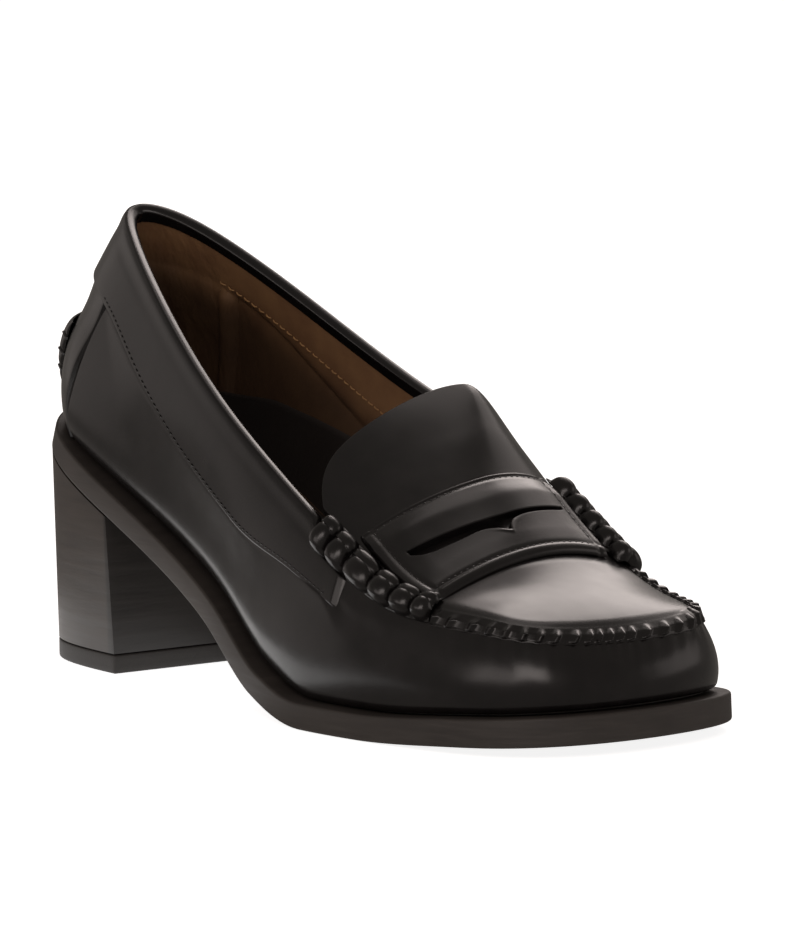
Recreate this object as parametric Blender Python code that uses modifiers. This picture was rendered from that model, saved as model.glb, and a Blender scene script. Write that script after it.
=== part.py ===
"""A square-toed penny loafer on a block heel: one right shoe, standing empty on its sole.

The sole's outline and profile, the collar and moccasin seam, and the crown of the vamp are
short tables in millimetres. Every piece is worked out from them: X runs from heel to toe,
+Y is the inner (medial) side, +Z is up and the floor is at zero.
"""
import math

import bmesh
import bpy
import numpy as np
from mathutils import Matrix

MM = 0.001

# Driving sizes, in millimetres.
SOLE_LENGTH = 242.0
LEDGE = 4.0
WALL = 1.8
INSOLE_THICKNESS = 2.4
TONGUE_THICKNESS = 3.0
SADDLE_THICKNESS = 1.6
BAND_THICKNESS = 0.9
LIFT_HEIGHT = 5.0
GAP = 0.3
BREAST_TOP = 49.0
BREAST_FOOT = 51.0
HEEL_INSET = 0.2
HEEL_TAPER = 1.2
EDGE_ROUND = 0.8
LIP = 0.25
COLLAR_BACK = 22.5
SEAM_TIP = 230.7
THROAT = 170.0
SHARP_DEGREES = 40.0

# Counts of sections round the shoe, up its wall and across its vamp.
ROUND = 72
RISES = 8
ACROSS = 10
HEEL_SECTIONS = 25
SADDLE_GRID = (4, 21, 4)
TONGUE_GRID = (8, 15)
BAND_GRID = (5, 57)
BACKSTAY_GRID = (7, 17)
BACK_ROLL_GRID = (9, 11)
LUMP_SECTIONS = 4

# Half-widths of the sole at distances from the back of the heel.
SOLE_ROWS = [
    # x, lateral, medial
    (0.0, 0.0, 0.0),
    (15.0, 23.4, 25.0),
    (49.9, 29.9, 29.0),
    (98.3, 34.1, 27.0),
    (151.0, 45.7, 34.8),
    (190.0, 43.9, 41.4),
    (214.0, 40.4, 42.9),
    (231.0, 32.3, 34.4),
    (242.0, 2.5, -2.5),
]

# Height of the sole's underside over the floor, and the sole's thickness.
PROFILE_ROWS = [
    # x, height, thickness
    (-10.0, 64.2, 6.7),
    (0.0, 60.4, 6.7),
    (54.0, 39.8, 6.7),
    (99.0, 20.7, 6.7),
    (132.0, 5.3, 6.7),
    (159.0, 0.0, 6.7),
    (181.0, 0.0, 6.7),
    (216.0, 1.9, 7.1),
    (242.0, 3.3, 7.4),
    (252.0, 3.8, 7.4),
]

# The upper's top line: collar at the rear, moccasin seam at the front.
EDGE_ROWS = [
    # x, lateral, medial, lateral height, medial height
    (22.5, 0.0, 0.0, 119.0, 119.0),
    (36.0, 10.6, 10.6, 112.6, 114.6),
    (65.5, 22.0, 21.8, 98.2, 98.0),
    (105.5, 30.6, 30.4, 75.3, 77.2),
    (150.0, 33.3, 33.8, 51.1, 59.4),
    (187.4, 34.3, 32.5, 35.5, 39.2),
    (210.6, 29.4, 31.7, 33.1, 32.6),
    (225.6, 21.9, 26.5, 31.4, 31.2),
    (230.7, -2.2, 2.2, 30.2, 30.2),
]

# Outward swell of the wall, low near the sole and high near the top line, and the shares of its
# rise at which the two swells act.
LOW_SHARE = 0.35
HIGH_SHARE = 0.32
WALL_ROWS = [
    # x, low, high
    (0.0, 6.0, 12.5),
    (30.0, 5.0, 8.5),
    (60.0, 4.0, 6.0),
    (110.0, 2.5, 4.0),
    (160.0, 2.5, 4.5),
    (200.0, 2.5, 5.0),
    (242.0, 3.0, 6.0),
]

# Rise of the vamp above its two seams, and the share by which its crest lies to the medial side.
CROWN_ROWS = [
    # x, crown, crest
    (122.0, 18.0, 0.64),
    (139.0, 18.0, 0.62),
    (154.0, 16.0, 0.42),
    (169.0, 12.2, 0.14),
    (184.0, 8.9, 0.08),
    (201.0, 5.8, 0.05),
    (216.0, 3.3, 0.0),
    (230.7, 0.0, 0.0),
]

# The collar band, between two distances below the top line.
BAND_ROWS = [
    # x, top, foot
    (22.0, 0.15, 18.0),
    (45.0, 0.15, 17.0),
    (72.0, 0.15, 20.0),
    (95.0, 0.15, 22.0),
    (118.0, 0.15, 21.5),
    (145.0, 0.15, 16.3),
    (149.5, 8.4, 15.4),
    (166.0, 8.0, 13.6),
]

# The saddle, its slot, the tongue, the rolls and the back roll.
SADDLE_REAR = 167.8
SADDLE_REAR_BOW = -4.6
SADDLE_FRONT = 193.0
SADDLE_FRONT_SKEW = -1.6
SADDLE_SPANS = (-0.87, 0.80)
SLOT_WIDTH = 2.6
SLOT_TIP_SHARE = 0.15
SLOT_ROWS = [
    # place across the saddle, share from its rear edge
    (-0.68, 0.46),
    (-0.44, 0.55),
    (-0.12, 0.55),
    (0.19, 0.51),
    (0.67, 0.45),
]
TONGUE_REAR = 137.8
TONGUE_REAR_BOW = 11.5
TONGUE_SQUARENESS = 6
TONGUE_SPAN = 0.93
ROLL_REACH_WALL = 6.8
ROLL_NARROWING = 0.35
ROLL_DIP = 0.4
ROLLS = [
    # name, rear, front, side, lumps, height, reach over the vamp
    ("roll_lateral", 153.0, 200.8, 1.0, 6, 5.2, 2.4),
    ("roll_medial", 162.6, 196.8, -1.0, 5, 7.4, 4.0),
]
SEAM_PLEATS = 34
SEAM_HEIGHT = 1.9
SEAM_REACH_WALL = 4.2
SEAM_REACH_VAMP = 1.0
SEAM_START = 0.02
PLEAT_DIP = 0.22
BACKSTAY_REACH = 41.0
BACKSTAY_FOOT = 0.02
BACK_ROLL_FOOT = 9.0
BACK_ROLL_TALL = 17.2
BACK_ROLL_HALF_WIDTH = 17.0
BACK_ROLL_HEIGHT = 3.1


def column(rows, index):
    """One column of a table as an array."""
    return np.array([row[index] for row in rows], dtype=float)


def flow(rows, index):
    """A smooth curve through one column of a table against its first, which never overshoots."""
    xs = column(rows, 0)
    ys = column(rows, index)
    steps = np.diff(xs)
    slopes = np.diff(ys) / steps
    tangents = np.zeros_like(ys)
    for i in range(1, len(xs) - 1):
        before, after = slopes[i - 1], slopes[i]
        if before * after > 0.0:
            weight_before = 2.0 * steps[i] + steps[i - 1]
            weight_after = steps[i] + 2.0 * steps[i - 1]
            total = weight_before + weight_after
            tangents[i] = total / (weight_before / before + weight_after / after)
    tangents[0], tangents[-1] = slopes[0], slopes[-1]

    def value(x):
        x = np.clip(np.asarray(x, dtype=float), xs[0], xs[-1])
        i = np.clip(np.searchsorted(xs, x) - 1, 0, len(xs) - 2)
        h = steps[i]
        f = (x - xs[i]) / h
        rise = (3.0 - 2.0 * f) * f * f
        lead = f * (1.0 - f) ** 2 * h * tangents[i]
        trail = f * f * (1.0 - f) * h * tangents[i + 1]
        return ys[i] * (1.0 - rise) + ys[i + 1] * rise + lead - trail

    return value


def ring(angles, values):
    """A smooth closed curve through values at rising angles within one turn."""
    count = len(angles)
    gaps = np.diff(np.append(angles, angles[0] + math.tau))
    slopes = (np.roll(values, -1) - values) / gaps
    matrix = np.zeros((count, count))
    right = np.zeros(count)
    for i in range(count):
        matrix[i, i - 1] += gaps[i - 1]
        matrix[i, i] += 2.0 * (gaps[i - 1] + gaps[i])
        matrix[i, (i + 1) % count] += gaps[i]
        right[i] = 6.0 * (slopes[i] - slopes[i - 1])
    bends = np.linalg.solve(matrix, right)

    def value(angle):
        angle = np.mod(np.asarray(angle, dtype=float), math.tau)
        i = np.clip(np.searchsorted(angles, angle, side="right") - 1, 0, count - 1)
        j = (i + 1) % count
        h = gaps[i]
        b = (angle - angles[i]) / h
        a = 1.0 - b
        bend = ((a ** 3 - a) * bends[i] + (b ** 3 - b) * bends[j]) * h * h / 6.0
        return a * values[i] + b * values[j] + bend

    return value


def angle_at(x, back, tip):
    """The lateral angle, from nought at the heel to pi at the toe, of a distance along the shoe."""
    share = np.clip((np.asarray(x, dtype=float) - back) / (tip - back), 0.0, 1.0)
    return np.arccos(1.0 - 2.0 * share)


def side_ring(rows, lateral, medial, sign):
    """A closed curve from a table's lateral and medial columns, out along one side and back."""
    xs = column(rows, 0)
    out = angle_at(xs, xs[0], xs[-1])
    back = math.tau - out[-2:0:-1]
    angles = np.concatenate([out, back])
    values = np.concatenate([sign * column(rows, lateral), column(rows, medial)[-2:0:-1]])
    return ring(angles, values)


sole_side = side_ring(SOLE_ROWS, 1, 2, -1.0)
sole_height = flow(PROFILE_ROWS, 1)
sole_thickness = flow(PROFILE_ROWS, 2)
edge_side = side_ring(EDGE_ROWS, 1, 2, -1.0)
edge_height = side_ring(EDGE_ROWS, 3, 4, 1.0)
wall_low = flow(WALL_ROWS, 1)
wall_high = flow(WALL_ROWS, 2)
crown_rise = flow(CROWN_ROWS, 1)
crown_crest = flow(CROWN_ROWS, 2)
band_top = flow(BAND_ROWS, 1)
band_foot = flow(BAND_ROWS, 2)
slot_share = flow(SLOT_ROWS, 1)


def outline(angle, inset=0.0):
    """Plan points of the sole's edge, drawn in by an inset, with the outward normals."""
    angle = np.asarray(angle, dtype=float)
    step = 1e-3

    def plan(a):
        return np.stack([0.5 * SOLE_LENGTH * (1.0 - np.cos(a)), sole_side(a)], axis=-1)

    along = plan(angle + step) - plan(angle - step)
    along /= np.linalg.norm(along, axis=-1, keepdims=True)
    outward = np.stack([along[..., 1], -along[..., 0]], axis=-1)
    return plan(angle) - inset * outward, outward


def on_sole(angle, inset, under, over=None):
    """Points at a height over the sole's underside, or over its top, square to its profile."""
    plan, _ = outline(angle, inset)
    x = plan[..., 0]
    height = under if over is None else sole_thickness(x) + over
    slope = sole_height(x + 0.5) - sole_height(x - 0.5)
    length = np.sqrt(1.0 + slope * slope)
    return np.stack([x - height * slope / length, plan[..., 1], sole_height(x) + height / length], axis=-1)


def edge(angle):
    """Points of the upper's top line."""
    angle = np.asarray(angle, dtype=float)
    x = COLLAR_BACK + 0.5 * (SEAM_TIP - COLLAR_BACK) * (1.0 - np.cos(angle))
    return np.stack([x, edge_side(angle), edge_height(angle)], axis=-1)


def wall(angle, share):
    """Points of the wall's outer face, a share of its girth from the sole (0) to the top line (1)."""
    angle, share = np.broadcast_arrays(np.asarray(angle, dtype=float), np.asarray(share, dtype=float))
    foot = on_sole(angle, LEDGE, 0.0, over=GAP)
    top = edge(angle)
    _, normal = outline(angle, LEDGE)
    outward = np.concatenate([normal, np.zeros(normal.shape[:-1] + (1,))], axis=-1)
    x = foot[..., :1]
    rise = (top - foot)[..., 2:] * np.array([0.0, 0.0, 1.0])
    low = foot + outward * wall_low(x) + LOW_SHARE * rise
    high = top + outward * wall_high(x) - HIGH_SHARE * rise

    def point(f):
        g = 1.0 - f
        return g ** 3 * foot + 3 * g * g * f * low + 3 * g * f * f * high + f ** 3 * top

    fine = np.linspace(0.0, 1.0, 41)
    track = np.stack([point(f) for f in fine], axis=-2)
    lengths = np.linalg.norm(np.diff(track, axis=-2), axis=-1)
    run = np.concatenate([np.zeros(lengths.shape[:-1] + (1,)), np.cumsum(lengths, axis=-1)], axis=-1)
    run /= run[..., -1:]
    flat_run = run.reshape(-1, len(fine))
    flat_share = share.reshape(-1)
    found = np.array([np.interp(s, r, fine) for s, r in zip(flat_share, flat_run)])
    return point(found.reshape(share.shape)[..., None])


def wall_girth(angle):
    """Length of the wall from the sole to the top line."""
    track = wall(np.asarray(angle, dtype=float)[..., None], np.linspace(0.0, 1.0, 21))
    return np.linalg.norm(np.diff(track, axis=-2), axis=-1).sum(axis=-1)


def wall_normal(angle, share):
    """Outward normals of the wall."""
    step = 2e-3
    inner = np.clip(share, step, 1.0 - step)
    along = wall(angle + step, inner) - wall(angle - step, inner)
    up = wall(angle, inner + step) - wall(angle, inner - step)
    normal = np.cross(along, up)
    return normal / np.linalg.norm(normal, axis=-1, keepdims=True)


def vamp_height(x, y):
    """Height of the vamp and tongue over a plan point between the two seams."""
    angle = angle_at(np.clip(x, COLLAR_BACK, SEAM_TIP), COLLAR_BACK, SEAM_TIP)
    lateral, medial = edge(angle), edge(-angle)
    width = np.maximum(medial[..., 1] - lateral[..., 1], 0.5)
    place = np.clip(2.0 * (y - lateral[..., 1]) / width - 1.0, -1.0, 1.0)
    crest = crown_crest(x)
    fall = np.where(place > crest, (place - crest) / (1.0 - crest), (crest - place) / (1.0 + crest))
    base = lateral[..., 2] + (medial[..., 2] - lateral[..., 2]) * 0.5 * (place + 1.0)
    return base + crown_rise(x) * (1.0 - fall * fall)


def vamp(x, place):
    """Points of the vamp at a distance along the shoe, from the lateral (-1) to the medial (1) seam."""
    x, place = np.broadcast_arrays(np.asarray(x, dtype=float), np.asarray(place, dtype=float))
    angle = angle_at(x, COLLAR_BACK, SEAM_TIP)
    lateral, medial = edge(angle), edge(-angle)
    y = lateral[..., 1] + (medial[..., 1] - lateral[..., 1]) * 0.5 * (place + 1.0)
    return np.stack([x, y, vamp_height(x, y)], axis=-1)


def vamp_normal(points):
    """Upward normals of the vamp over plan points."""
    x, y = points[..., 0], points[..., 1]
    step = 0.4
    slope_x = (vamp_height(x + step, y) - vamp_height(x - step, y)) / (2.0 * step)
    slope_y = (vamp_height(x, y + step) - vamp_height(x, y - step)) / (2.0 * step)
    normal = np.stack([-slope_x, -slope_y, np.ones_like(x)], axis=-1)
    return normal / np.linalg.norm(normal, axis=-1, keepdims=True)


def finish(name, mesh, material):
    """Link a mesh to the shoe as a named, smooth-shaded object."""
    mesh.shade_smooth()
    mesh.set_sharp_from_angle(angle=math.radians(SHARP_DEGREES))
    piece = bpy.data.objects.new(name, mesh)
    piece.data.materials.append(material)
    shoe.objects.link(piece)
    return piece


def mesh_of(name, build):
    """A mesh in metres from a bmesh that a function fills in millimetres."""
    bm = bmesh.new()
    build(bm)
    bmesh.ops.scale(bm, verts=bm.verts, vec=(MM, MM, MM))
    bmesh.ops.recalc_face_normals(bm, faces=bm.faces)
    mesh = bpy.data.meshes.new(name)
    bm.to_mesh(mesh)
    bm.free()
    return mesh


def skin(bm, grid, closed=False):
    """Quads over a grid of vertices, joined round its columns where it is closed."""
    rows, cols = len(grid), len(grid[0])
    for r in range(rows - 1):
        for c in range(cols if closed else cols - 1):
            d = (c + 1) % cols
            corners = [grid[r][c], grid[r][d], grid[r + 1][d], grid[r + 1][c]]
            kept = [v for i, v in enumerate(corners) if v is not corners[i - 1]]
            bm.faces.new(kept)


def ladder(bm, loop):
    """Cap a closed loop with rungs between its two sides, from one end to the other."""
    count = len(loop)
    for i in range((count - 1) // 2):
        corners = [loop[i], loop[i + 1], loop[-i - 2], loop[-i - 1]]
        kept = [v for k, v in enumerate(corners) if v is not corners[k - 1]]
        bm.faces.new(kept)


def stack(name, loops, material):
    """A solid through closed loops of points, capped at its first and last."""
    def build(bm):
        grid = [[bm.verts.new(p) for p in loop] for loop in loops]
        skin(bm, grid, closed=True)
        for loop in (grid[0], grid[-1]):
            ladder(bm, loop[1:] + loop[:1])
    return finish(name, mesh_of(name, build), material)


def slab(name, inner, outer, material):
    """A solid between two like grids of points."""
    def build(bm):
        low = [[bm.verts.new(p) for p in row] for row in inner]
        high = [[bm.verts.new(p) for p in row] for row in outer]
        skin(bm, low)
        skin(bm, high)
        for side in (0, -1):
            skin(bm, [low[side], high[side]])
            skin(bm, [[row[side] for row in low], [row[side] for row in high]])
    return finish(name, mesh_of(name, build), material)


def material(name, colour, roughness):
    """A plain Principled finish."""
    made = bpy.data.materials.new(name)
    made.use_nodes = True
    made.diffuse_color = (*colour, 1.0)
    shader = made.node_tree.nodes["Principled BSDF"]
    shader.inputs["Base Color"].default_value = (*colour, 1.0)
    shader.inputs["Roughness"].default_value = roughness
    return made


def loop_angles(count=ROUND):
    """Even angles round the shoe, starting at the back of the heel."""
    return np.arange(count) * math.tau / count


def make_outsole():
    angles = loop_angles()
    loops = [
        on_sole(angles, EDGE_ROUND, 0.0),
        on_sole(angles, 0.0, EDGE_ROUND),
        on_sole(angles, 0.0, 0.0, over=-EDGE_ROUND),
        on_sole(angles, EDGE_ROUND, 0.0, over=0.0),
    ]
    stack("outsole", loops, material("sole_edge", (0.035, 0.030, 0.027), 0.6))


def heel_loop(breast, inset):
    """Plan points round the back of the heel from its lateral to its medial breast corner."""
    reach = float(angle_at(breast, 0.0, SOLE_LENGTH))
    angles = np.linspace(reach, -reach, HEEL_SECTIONS)
    plan, _ = outline(angles, inset)
    plan[0, 0] = plan[-1, 0] = breast
    return plan


def level(plan, height):
    """Plan points raised to one height, or to a height for each."""
    return np.column_stack([plan, np.broadcast_to(height, len(plan))])


def make_heel():
    top = heel_loop(BREAST_TOP, HEEL_INSET)
    foot = heel_loop(BREAST_FOOT, HEEL_TAPER)
    rubber = material("heel_stack", (0.030, 0.026, 0.023), 0.55)
    loops = [level(foot, LIFT_HEIGHT + GAP), level(top, sole_height(top[:, 0]) - GAP)]
    lift = [level(foot, 0.0), level(foot, LIFT_HEIGHT)]
    for name, pair in (("heel", loops), ("top_lift", lift)):
        def build(bm, pair=pair):
            grid = [[bm.verts.new(p) for p in loop] for loop in pair]
            skin(bm, grid, closed=True)
            for loop in grid:
                ladder(bm, loop)
        finish(name, mesh_of(name, build), rubber)


def make_insole():
    angles = loop_angles()
    inset = LEDGE + WALL + 2.0 * GAP
    loops = [on_sole(angles, inset, 0.0, over=rise) for rise in (GAP, GAP + INSOLE_THICKNESS)]
    stack("insole", loops, material("sock", (0.012, 0.011, 0.011), 0.5))


def make_upper():
    angles = loop_angles()
    shares = np.linspace(0.0, 1.0, RISES + 1)
    tip = ROUND // 2
    first = int(round(float(angle_at(THROAT, COLLAR_BACK, SEAM_TIP)) / math.pi * tip))
    places = np.linspace(-1.0, 1.0, ACROSS + 1)[1:-1]

    def build(bm):
        grid = [[bm.verts.new(p) for p in wall(angles, share)] for share in shares]
        skin(bm, grid, closed=True)
        top = grid[-1]
        sections = []
        for k in range(first, tip):
            x = float(edge(angles[k])[0])
            middle = [bm.verts.new(p) for p in vamp(x, places)]
            sections.append([top[k]] + middle + [top[ROUND - k]])
        sections.append([top[tip]] * (ACROSS + 1))
        for near, far in zip(sections[:-1], sections[1:]):
            for c in range(ACROSS):
                corners = [near[c], near[c + 1], far[c + 1], far[c]]
                kept = [v for i, v in enumerate(corners) if v is not corners[i - 1]]
                bm.faces.new(kept)

    mesh = mesh_of("upper", build)
    upper = finish("upper", mesh, leather)
    shell = upper.modifiers.new("wall", "SOLIDIFY")
    shell.thickness = WALL * MM
    shell.offset = -1.0
    shell.use_even_offset = True


def make_tongue():
    along, across = TONGUE_GRID
    places = np.linspace(-TONGUE_SPAN, TONGUE_SPAN, across)
    rear = TONGUE_REAR + TONGUE_REAR_BOW * (places / TONGUE_SPAN) ** TONGUE_SQUARENESS
    front = THROAT - GAP
    outer = np.array([vamp(front + (rear - front) * f, places) for f in np.linspace(0.0, 1.0, along)])
    inner = outer - TONGUE_THICKNESS * vamp_normal(outer)
    slab("tongue", inner, outer, leather)


def saddle_x(place, share):
    """Distance along the shoe of a share of the saddle from its rear edge (0) to its front (1)."""
    rear = SADDLE_REAR + SADDLE_REAR_BOW * place * place
    front = SADDLE_FRONT + SADDLE_FRONT_SKEW * place
    return rear + (front - rear) * share


def make_saddle():
    rows, across, beside = SADDLE_GRID
    slot = np.linspace(SLOT_ROWS[0][0], SLOT_ROWS[-1][0], across)
    outer = np.linspace(SADDLE_SPANS[0], slot[0], beside)
    inner = np.linspace(slot[-1], SADDLE_SPANS[1], beside)
    places = np.concatenate([outer[:-1], slot, inner[1:]])
    first, last = beside - 1, beside + across - 2
    along = np.clip(np.interp(places, [slot[0], slot[-1]], [-1.0, 1.0]), -1.0, 1.0)
    half = 0.5 * SLOT_WIDTH * np.maximum(np.sqrt(1.0 - along ** 2), SLOT_TIP_SHARE)
    half /= saddle_x(places, 1.0) - saddle_x(places, 0.0)
    rear_lip, front_lip = slot_share(places) - half, slot_share(places) + half
    steps = np.linspace(0.0, 1.0, rows)
    shares = [rear_lip * f for f in steps] + [front_lip + (1.0 - front_lip) * f for f in steps]
    surface = np.array([vamp(saddle_x(places, share), places) for share in shares])
    normal = vamp_normal(surface)
    lips = slice(rows - 1, rows + 1)

    def build(bm):
        faces = [surface + rise * normal for rise in (GAP, GAP + SADDLE_THICKNESS)]
        low, high = [[[bm.verts.new(p) for p in row] for row in face] for face in faces]
        for side in (low, high):
            skin(bm, side[:rows])
            skin(bm, side[rows:])
            skin(bm, [row[:first + 1] for row in side[lips]])
            skin(bm, [row[last:] for row in side[lips]])
        for end in (0, -1):
            skin(bm, [low[end], high[end]])
            skin(bm, [[row[end] for row in side] for side in (low, high)])
        for lip in (rows - 1, rows):
            skin(bm, [side[lip][first:last + 1] for side in (low, high)])
        for end in (first, last):
            skin(bm, [[row[end] for row in side[lips]] for side in (low, high)])

    finish("saddle", mesh_of("saddle", build), leather)


def ridge(name, angles, heights, reach_wall, reach_vamp):
    """A rounded welt along the top line, reaching down the wall and in over the vamp."""
    girth = wall_girth(angles)
    top = edge(angles)
    _, normal = outline(angles, LEDGE)
    inner, outer = [], []
    on_wall = np.linspace(1.0, 0.0, 5)
    on_vamp = np.linspace(0.0, 1.0, 4)[1:]
    for drop in on_wall:
        share = 1.0 - drop * reach_wall / girth
        inner.append((wall(angles, share), wall_normal(angles, share)))
    for reach in on_vamp:
        plan = top[:, :2] - reach * reach_vamp * normal
        points = np.column_stack([plan, vamp_height(plan[:, 0], plan[:, 1])])
        inner.append((points, vamp_normal(points)))
    points = np.array([p for p, _ in inner])
    normals = np.array([n for _, n in inner])
    seam = len(on_wall) - 1
    normals[seam] = normals[seam] + vamp_normal(points[seam + 1])
    normals /= np.linalg.norm(normals, axis=-1, keepdims=True)
    places = np.linspace(0.0, 1.0, len(points))
    swell = np.sqrt(np.clip(np.sin(math.pi * places), 0.0, 1.0))[:, None] * heights
    clear = np.full(len(points), GAP)
    clear[seam] = 1.5 * GAP
    base = points + clear[:, None, None] * normals
    rise = points + (clear[:, None] + LIP + swell)[..., None] * normals
    slab(name, base, rise, leather)


def make_rolls():
    for name, rear, front, turn, lumps, height, reach_vamp in ROLLS:
        ends = angle_at(np.array([rear, front]), COLLAR_BACK, SEAM_TIP)
        share = np.linspace(0.0, 1.0, lumps * LUMP_SECTIONS + 1)
        angles = turn * (ends[0] + (ends[1] - ends[0]) * share)
        heights = height * (1.0 - ROLL_DIP + ROLL_DIP * np.abs(np.sin(math.pi * lumps * share)))
        ridge(name, angles, heights, ROLL_REACH_WALL * (1.0 - ROLL_NARROWING * share), reach_vamp)


def make_moc_seam():
    start, end = [float(angle_at(roll[2], COLLAR_BACK, SEAM_TIP)) + SEAM_START for roll in ROLLS]
    share = np.linspace(0.0, 1.0, 2 * SEAM_PLEATS + 1)
    angles = start + (math.tau - end - start) * share
    heights = SEAM_HEIGHT * (1.0 - PLEAT_DIP + PLEAT_DIP * np.cos(math.tau * SEAM_PLEATS * share))
    ridge("moc_seam", angles, heights, SEAM_REACH_WALL, SEAM_REACH_VAMP)


def overlay(name, angles, shares, clear, heights):
    """A panel over the wall, clear of it by a gap, as high as a number or a grid of heights."""
    surface = np.array([wall(angles, share) for share in shares])
    normal = np.array([wall_normal(angles, np.broadcast_to(share, angles.shape)) for share in shares])
    tops = np.broadcast_to(clear + heights, surface.shape[:2])
    slab(name, surface + clear * normal, surface + tops[..., None] * normal, leather)


def make_collar_band():
    reach = float(angle_at(BAND_ROWS[-1][0], COLLAR_BACK, SEAM_TIP))
    up, around = BAND_GRID
    angles = np.linspace(reach, -reach, around)
    x = edge(angles)[:, 0]
    girth = wall_girth(angles)
    drops = [band_foot(x) + (band_top(x) - band_foot(x)) * f for f in np.linspace(0.0, 1.0, up)]
    overlay("collar_band", angles, [1.0 - drop / girth for drop in drops], GAP, BAND_THICKNESS)


def make_backstay():
    reach = float(angle_at(BACKSTAY_REACH, COLLAR_BACK, SEAM_TIP))
    up, around = BACKSTAY_GRID
    angles = np.linspace(reach, -reach, around)
    top = 1.0 - (band_foot(edge(angles)[:, 0]) + GAP) / wall_girth(angles)
    shares = [BACKSTAY_FOOT + (top - BACKSTAY_FOOT) * f for f in np.linspace(0.0, 1.0, up)]
    overlay("backstay", angles, shares, GAP, BAND_THICKNESS)


def make_back_roll():
    girth = float(wall_girth(np.array(0.0)))
    middle = (BACK_ROLL_FOOT + 0.5 * BACK_ROLL_TALL) / girth
    step = 0.02
    turn = step * BACK_ROLL_HALF_WIDTH / np.linalg.norm(wall(step, middle) - wall(0.0, middle))
    up, around = [np.linspace(0.0, 1.0, count) for count in BACK_ROLL_GRID]
    angles = turn * (1.0 - 2.0 * around)
    shares = (BACK_ROLL_FOOT + BACK_ROLL_TALL * up) / girth
    upright, level_swell = [np.sqrt(np.clip(np.sin(math.pi * f), 0.0, 1.0)) for f in (up, around)]
    swell = LIP + BACK_ROLL_HEIGHT * upright[:, None] * level_swell
    overlay("back_roll", angles, shares, 2.0 * GAP + BAND_THICKNESS, swell)


def centre():
    """Stand the middle of the shoe's bounds over the origin."""
    points = np.array([vert.co for piece in shoe.objects for vert in piece.data.vertices])
    middle = 0.5 * (points.min(axis=0) + points.max(axis=0))
    for piece in shoe.objects:
        piece.data.transform(Matrix.Translation((-middle[0], -middle[1], 0.0)))


for old in list(bpy.data.objects):
    bpy.data.objects.remove(old, do_unlink=True)

shoe = bpy.data.collections.new("square_toe_loafer")
bpy.context.scene.collection.children.link(shoe)

leather = material("leather", (0.012, 0.010, 0.010), 0.28)

make_outsole()
make_heel()
make_insole()
make_upper()
make_tongue()
make_saddle()
make_rolls()
make_moc_seam()
make_collar_band()
make_backstay()
make_back_roll()
centre()
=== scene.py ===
"""Looks of a square-toed penny loafer on a block heel, built up piece by piece as the shoe is made.

Sizes are in millimetres along the shoe: X from the back of the heel to the toe, +Y to the inner
(medial) side and Z up from the floor. They become metres about the shoe's middle as a piece is laid.
"""
import math

import bpy
import numpy as np
from mathutils import Euler, Matrix


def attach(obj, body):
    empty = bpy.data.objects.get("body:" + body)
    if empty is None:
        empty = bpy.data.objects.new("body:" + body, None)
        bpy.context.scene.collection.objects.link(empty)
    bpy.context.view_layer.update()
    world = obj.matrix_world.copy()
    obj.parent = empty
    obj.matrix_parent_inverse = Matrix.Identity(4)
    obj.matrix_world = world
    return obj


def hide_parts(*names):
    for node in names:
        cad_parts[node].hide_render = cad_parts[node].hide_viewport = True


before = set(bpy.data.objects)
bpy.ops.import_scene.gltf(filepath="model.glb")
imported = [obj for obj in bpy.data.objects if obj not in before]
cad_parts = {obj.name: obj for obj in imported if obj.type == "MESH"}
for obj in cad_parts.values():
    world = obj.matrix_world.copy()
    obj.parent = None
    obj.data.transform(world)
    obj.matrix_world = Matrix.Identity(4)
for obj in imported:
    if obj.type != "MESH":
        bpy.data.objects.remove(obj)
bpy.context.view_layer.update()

# Outsole: a sheet of dark composition, cut to the outline of the last with a ledge all round.
# Its edge is trimmed, stained brown-black and brushed along, which leaves fine level streaks.
# It is cemented under the upper, and stands on the floor at the forefoot.
SHOE_MIDDLE = np.array([121.079, -1.518, 0.0])
SOLE_LENGTH, SOLE_ROUND, SOLE_FLAT_INSET = 242.0, 0.8, 6.0
SOLE_ROWS = [
    # x, lateral, medial
    (0.0, 0.0, 0.0),
    (15.0, 23.4, 25.0),
    (49.9, 29.9, 29.0),
    (98.3, 34.1, 27.0),
    (151.0, 45.7, 34.8),
    (190.0, 43.9, 41.4),
    (214.0, 40.4, 42.9),
    (231.0, 32.3, 34.4),
    (242.0, 2.5, -2.5),
]
PROFILE_ROWS = [
    # x, height, thickness
    (-10.0, 64.2, 6.7),
    (0.0, 60.4, 6.7),
    (54.0, 39.8, 6.7),
    (99.0, 20.7, 6.7),
    (132.0, 5.3, 6.7),
    (159.0, 0.0, 6.7),
    (181.0, 0.0, 6.7),
    (216.0, 1.9, 7.1),
    (242.0, 3.3, 7.4),
    (252.0, 3.8, 7.4),
]


def column(rows, index):
    return np.array([row[index] for row in rows], dtype=float)


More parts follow.
